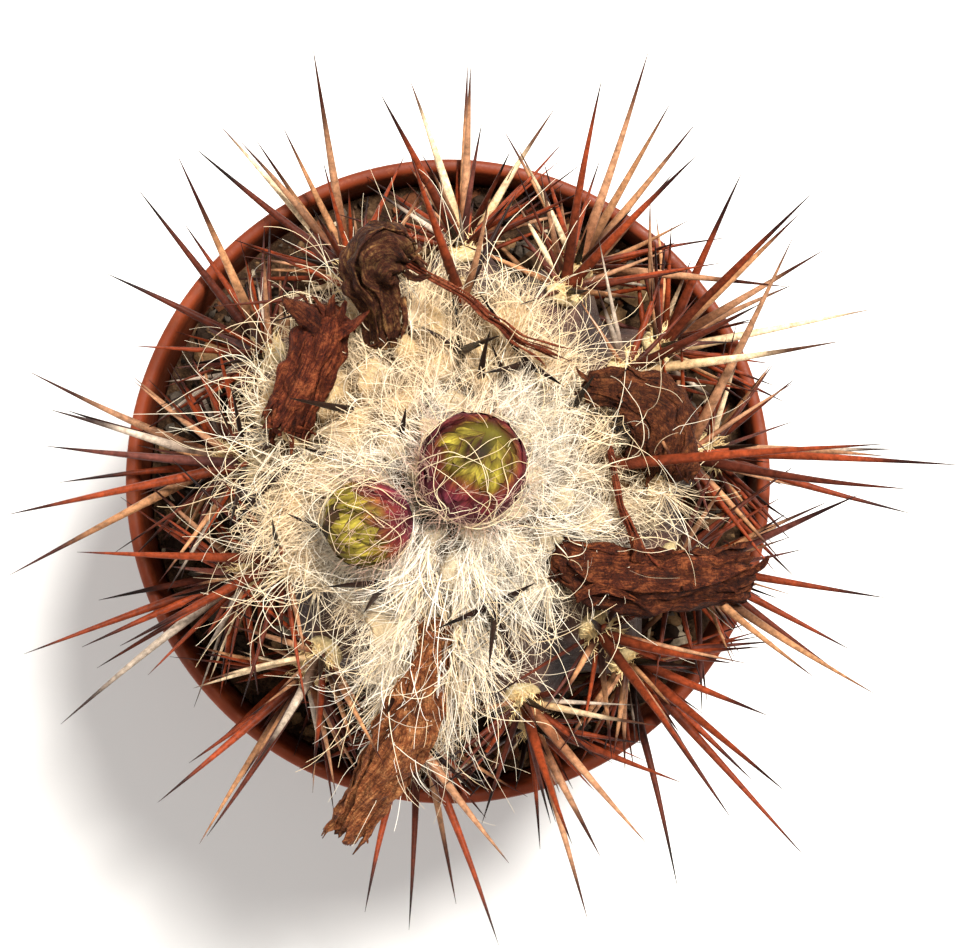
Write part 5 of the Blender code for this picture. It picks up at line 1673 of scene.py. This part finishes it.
def crumpled(flower, shares, turn, seed):
    """Points of a flower's crumpled tube, with the outward ways and the creases' depth, from -1 to 1."""
    facing = unit(np.array(flower["facing"], float))
    middle, ahead, over, side = route_frames(flower["route"], shares, facing)
    turn = np.broadcast_to(turn, (len(shares), np.shape(turn)[-1]))
    way = side[:, None] * np.cos(turn)[..., None] + over[:, None] * (np.sin(turn) * flower["flat"])[..., None]
    crease = 1 + CREASES * noise_at(middle[:, None] * 0.35 + way * 2.1) + FOLDS * np.cos(4 * turn)
    along = np.broadcast_to(shares[:, None], turn.shape)
    wave = np.stack([np.cos(turn) * 2.3, np.sin(turn) * 2.3, along * 2.4], -1)
    fine = np.stack([np.cos(turn) * 6.0, np.sin(turn) * 6.0, along * 4.5], -1)
    groove = 0.7 - 2.6 * np.abs(noise_at(wave, 1.0, seed)) + 0.9 * noise_at(fine, 1.0, seed)
    crumple = noise_at(middle[:, None] * 0.45 + way * 3.0, 1.0, seed)
    width = half_widths(flower, shares)[:, None] * (crease + 0.1 * groove + 0.13 * crumple)
    return middle[:, None] + way * width[..., None], unit(way), ahead, groove + 0.5 * crumple


def thin_sheet(grid):
    """A closed sheet over a grid of points (row, column, 3), SHEET thick."""
    rows, columns = grid.shape[:2]
    normal = unit(np.cross(np.gradient(grid, axis=1), np.gradient(grid, axis=0)))
    points = np.concatenate([grid.reshape(-1, 3), (grid - normal * SHEET).reshape(-1, 3)])
    top = np.arange(rows * columns).reshape(rows, columns)
    rim = np.concatenate([top[0, :-1], top[:-1, -1], top[-1, :0:-1], top[:0:-1, 0]])
    onward = np.roll(rim, -1)
    below = rows * columns
    walls = np.stack([rim, rim + below, onward + below, onward], -1)
    quads = grid_faces(rows, columns, closed=False)
    return points, [quads, quads[:, ::-1] + below, walls]


def sheet_look(shade, tint):
    """Colours for both faces of a sheet, darker beneath by painted shade."""
    shade = np.clip(np.concatenate([shade.ravel(), shade.ravel() * 0.8]) * tint, 0.15, 1.9)
    return shade[:, None] * np.array((1.0, 0.98, 0.95))


def ragged_sides(rng, u, v, amount):
    """A factor for a sheet's width that tears each of its sides in its own way."""
    return 1 + amount * noise_at(np.stack([v * 5, np.sign(u) * 3, 0 * v], -1), 1.0, rng.uniform(0, 90))


def add_petal(heap, flower, start, end, centre, half, rng, seed):
    """A withered petal along the tube, with ragged sides and a torn end."""
    v, u = sheet_grid(*PETAL_GRID)
    shares = mix(start, end, v[:, 0])
    spread = half * ragged_sides(rng, u, v, 0.3) * np.clip(4 * v + 0.5, 0, 1)
    spread = spread * (1 - 0.45 * smooth_step(0.75, 1.0, v))
    turn = centre + rng.uniform(-0.5, 0.5) * v + u * spread
    points, way, ahead, groove = crumpled(flower, shares, turn, seed)
    width = half_widths(flower, shares)[:, None]
    open_share = smooth_step(0.78, 1.05, shares)[:, None]
    lift = 0.1 + rng.uniform(0.0, 0.25) + 0.25 * np.abs(u) ** 3 * rng.uniform(0.2, 1.4)
    flare = flower["flare"] * open_share * width * rng.uniform(0.5, 1.4)
    lift = lift + 0.22 * noise_at(points, 0.9, seed) + flare
    torn = noise_at(np.stack([u * 2.6, 0 * u, 0 * u], -1), 1.0, rng.uniform(0, 90))
    torn = torn * 2.0 * smooth_step(0.7, 1.0, v)
    points = points + way * lift[..., None] + ahead[:, None] * torn[..., None]
    sheet, faces = thin_sheet(points)
    # Painted shade in the grooves, and painted light on the thin side edges.
    shade = 0.9 + 0.3 * groove + 0.25 * np.abs(u) ** 4
    along = np.broadcast_to(shares[:, None] * path_length(flower["route"]), turn.shape)
    uv = np.stack([turn * width, along], -1).reshape(-1, 2)
    heap.add(sheet, faces, sheet_look(shade, rng.uniform(0.8, 1.3)), np.concatenate([uv, uv]))


def add_strip(heap, path, half, facing, tint, rng):
    """A narrow twisted strip that tapers to a torn point."""
    ahead = unit(np.gradient(path, axis=0))
    side = unit(np.cross(ahead, facing))
    over = np.cross(side, ahead)
    v, u = sheet_grid(len(path), STRIP_COLUMNS)
    turn = (rng.uniform(-1.2, 1.2) * v[:, 0])[:, None]
    across = side * np.cos(turn) + over * np.sin(turn)
    spread = half * (1 - v**3 * 0.85) * ragged_sides(rng, u, v, 0.35) * u
    cup = 0.45 * half * (u**2 - 0.4) * rng.uniform(-1, 1)
    cup = cup + 0.1 * noise_at(np.stack([u, v * 5, 0 * u], -1), 1.0, 7.0)
    raised = np.cross(across, ahead)[:, None] * cup[..., None]
    sheet, faces = thin_sheet(path[:, None] + across[:, None] * spread[..., None] + raised)
    uv = np.stack([spread, v * path_length(path)], -1).reshape(-1, 2)
    # Painted light on the thin side edges.
    heap.add(sheet, faces, sheet_look(0.85 + 0.3 * np.abs(u), tint), np.concatenate([uv, uv]))


def add_shreds(heap, flower, share, outward, count, rng, seed):
    """Torn, curled strips round one end of the flower."""
    for k in range(count):
        turn = 2 * math.pi * (k + rng.uniform(-0.4, 0.4)) / count
        points, way, ahead, _ = crumpled(flower, np.array([share]), np.array([turn]), seed)
        start = (points[0, 0] - way[0, 0] * 0.25 - ahead[0] * outward * 0.8)[None]
        aim = (ahead[0] * outward * 0.9 + way[0, 0] * rng.uniform(0.1, 0.8))[None]
        aim = aim + 0.35 * rng.normal(size=(1, 3))
        length, curl = rng.uniform(1.8, 4.2, 1), rng.uniform(0.05, 0.4)
        path = hair_paths(rng, start, aim, length, SHRED_STEPS, curl, 0.1, 0.0)[0]
        add_strip(heap, path, rng.uniform(0.25, 0.6), way[0, 0], rng.uniform(0.8, 1.6), rng)


def make_flower(flower, seed):
    """A crumpled tube with a torn, hollow mouth, its petals and its loose strips."""
    rng = np.random.default_rng(seed)
    heap = Heap()
    shares = np.linspace(0.0, 1.0, FLOWER_ROWS)
    turn = full_turn(FLOWER_SIDES)
    outer, way, ahead, groove = crumpled(flower, shares, turn, seed)
    circle = np.stack([np.cos(turn), np.sin(turn), 0 * turn], -1)
    torn = TORN_EDGE * noise_at(circle, 1.9, seed) + 0.9 * noise_at(circle, 6.0, seed) - 0.4
    closing = 1 + min(flower["flare"], 0.0) * smooth_step(0.8, 1.0, shares)
    middle = outer.mean(axis=1, keepdims=True)
    outer = middle + (outer - middle) * closing[:, None, None]
    outer = outer + ahead[:, None] * (smooth_step(0.75, 1.0, shares)[:, None] * torn)[..., None]
    pick = np.linspace(FLOWER_ROWS - 1, FLOWER_ROWS * MOUTH_DEPTH, MOUTH_ROWS).round().astype(int)
    inner = middle[pick] + (outer[pick] - middle[pick]) * 0.84 - way[pick] * 0.15
    rings = np.concatenate([outer, inner])
    points, faces = closed_grid(rings, middle[0, 0] - ahead[0] * 0.8, middle[pick[-1], 0])
    along = np.concatenate([shares, shares[pick]]) * path_length(flower["route"])
    around = np.abs(np.linspace(-1, 1, FLOWER_SIDES)) * max(flower["widths"]) * 3.1
    uv = np.stack(np.broadcast_arrays(around, along[:, None]), -1).reshape(-1, 2)
    uv = np.concatenate([uv, [(0, along[0]), (0, along[-1])]])
    # Painted shade: darker in the grooves of the crumpled tube, and dark down inside the hollow mouth.
    shade = np.clip(0.8 + 0.4 * groove, 0.3, 1.4)
    shade = np.concatenate([shade, np.full((MOUTH_ROWS, FLOWER_SIDES), 0.3)]).ravel()
    heap.add(points, faces, np.repeat(np.concatenate([shade, [0.8, 0.25]])[:, None], 3, axis=1), uv)
    for k in range(flower["petals"]):
        centre = 2 * math.pi * (k + rng.uniform(-0.25, 0.25)) / flower["petals"]
        half = rng.uniform(0.45, 0.8)
        add_petal(heap, flower, rng.uniform(0.0, 0.25), rng.uniform(0.86, 1.06), centre, half, rng, seed)
    at_mouth, at_foot = flower["shreds"]
    add_shreds(heap, flower, 0.98, 1.0, at_mouth, rng, seed)
    add_shreds(heap, flower, 0.04, -1.0, at_foot, rng, seed)
    for route, half, tint in flower["flaps"]:
        add_strip(heap, curve_points(route, np.linspace(0, 1, FLAP_ROWS))[0], half, FLAP_FACING, tint, rng)
    material = withered_material(flower["name"] + "_fibres", *tones(flower["tones"]), flower["grain"])
    piece = heap.piece(flower["name"] + "_petals", material, "withered_petal")
    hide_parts(flower["name"])
    return piece


def make_strand(flower, material, seed):
    """A thin withered thread of several fibres, forked and frayed at its end."""
    rng = np.random.default_rng(seed)
    shares = np.linspace(0, 1, STRAND_STEPS)
    points, _ = curve_points(flower["strand"], shares)
    points = points + 0.3 * np.stack([noise_at(points, 0.3, s) for s in (3.0, 9.0, 17.0)], -1)
    paths = [points]
    for _ in STRAND_RADII[1:]:
        apart = rng.normal(size=3) * 0.22 + rng.normal(size=3) * 1.1 * (shares**4)[:, None]
        paths.append(points + apart)
    radii = STRAND_RADII * (1 + 0.3 * np.sin(shares * 31)[None]) * (1.0 + 0.5 * shares**2 - 1.2 * shares**6)
    rolls = unit(rng.normal(size=(len(paths), 3)))
    tube, quads = tubes(np.array(paths), radii, STRAND_SIDES, rolls)
    across = np.tile(np.arange(STRAND_SIDES) * 0.2, len(tube) // STRAND_SIDES)
    along = np.repeat(np.tile(shares * 20, len(paths)), STRAND_SIDES)
    look = np.repeat(rng.uniform(0.7, 1.3, len(paths)), STRAND_STEPS * STRAND_SIDES)[:, None] * np.ones(3)
    uv = np.stack([across, along], -1)
    return mesh_piece(flower["name"] + "_strand", tube, [quads], material, look=look, uv=uv)


# Assembly

FLOWER_SEED, STRAND_SEED = 40, 60
THREAD_TONES = ((70, 28, 18), (124, 56, 34), (170, 100, 66))


def main():
    make_camera()
    make_studio()
    make_pot()
    make_soil()
    body = make_body()
    felt_mat, coarse = felt_material(), hair_material("wool_long_hair", 0.5, 0.15)
    fine = hair_material("wool_fine_hair", 0.7, 0.18)
    angles, latitudes = areole_places()
    bare = bare_areoles(angles, latitudes)
    make_pads(angles[bare], latitudes[bare], felt_mat, coarse)
    tufts = make_tufts()
    flowers = [make_flower(flower, FLOWER_SEED + k) for k, flower in enumerate(FLOWERS)]
    cad_buds = {name: frame["nodes"][name] for name, *_ in BUDS}
    felt = make_felt(felt_mat, tufts, tree_of(*flowers, *cad_buds.values()))
    make_spines(angles, latitudes, bare, tree_of(felt))
    thread = withered_material("strand_fibres", *tones(THREAD_TONES))
    for k, flower in enumerate(FLOWERS):
        if flower["strand"]:
            flowers.append(make_strand(flower, thread, STRAND_SEED + k))
    skin = bud_material()
    flower_tree = tree_of(*flowers)
    bud_trees = {name: tree_of(node) for name, node in cad_buds.items()}
    for name, *form in BUDS:
        others = [tree for other, tree in bud_trees.items() if other != name]
        make_bud(name, *form, skin, coarse, [*others, flower_tree])
    buds = [piece for piece in bpy.data.objects if piece.name.endswith("_scales")]
    clear = tree_of(*flowers, *buds)
    in_way = [tree_of(felt), clear]
    make_fuzz(in_way, clear, tufts, fine)
    make_locks(in_way, clear, fine)
    make_wisps(in_way, clear, fine)
    make_apron(in_way, clear, fine)
    make_long_hairs([in_way[0], tree_of(body), clear], clear, coarse)


main()
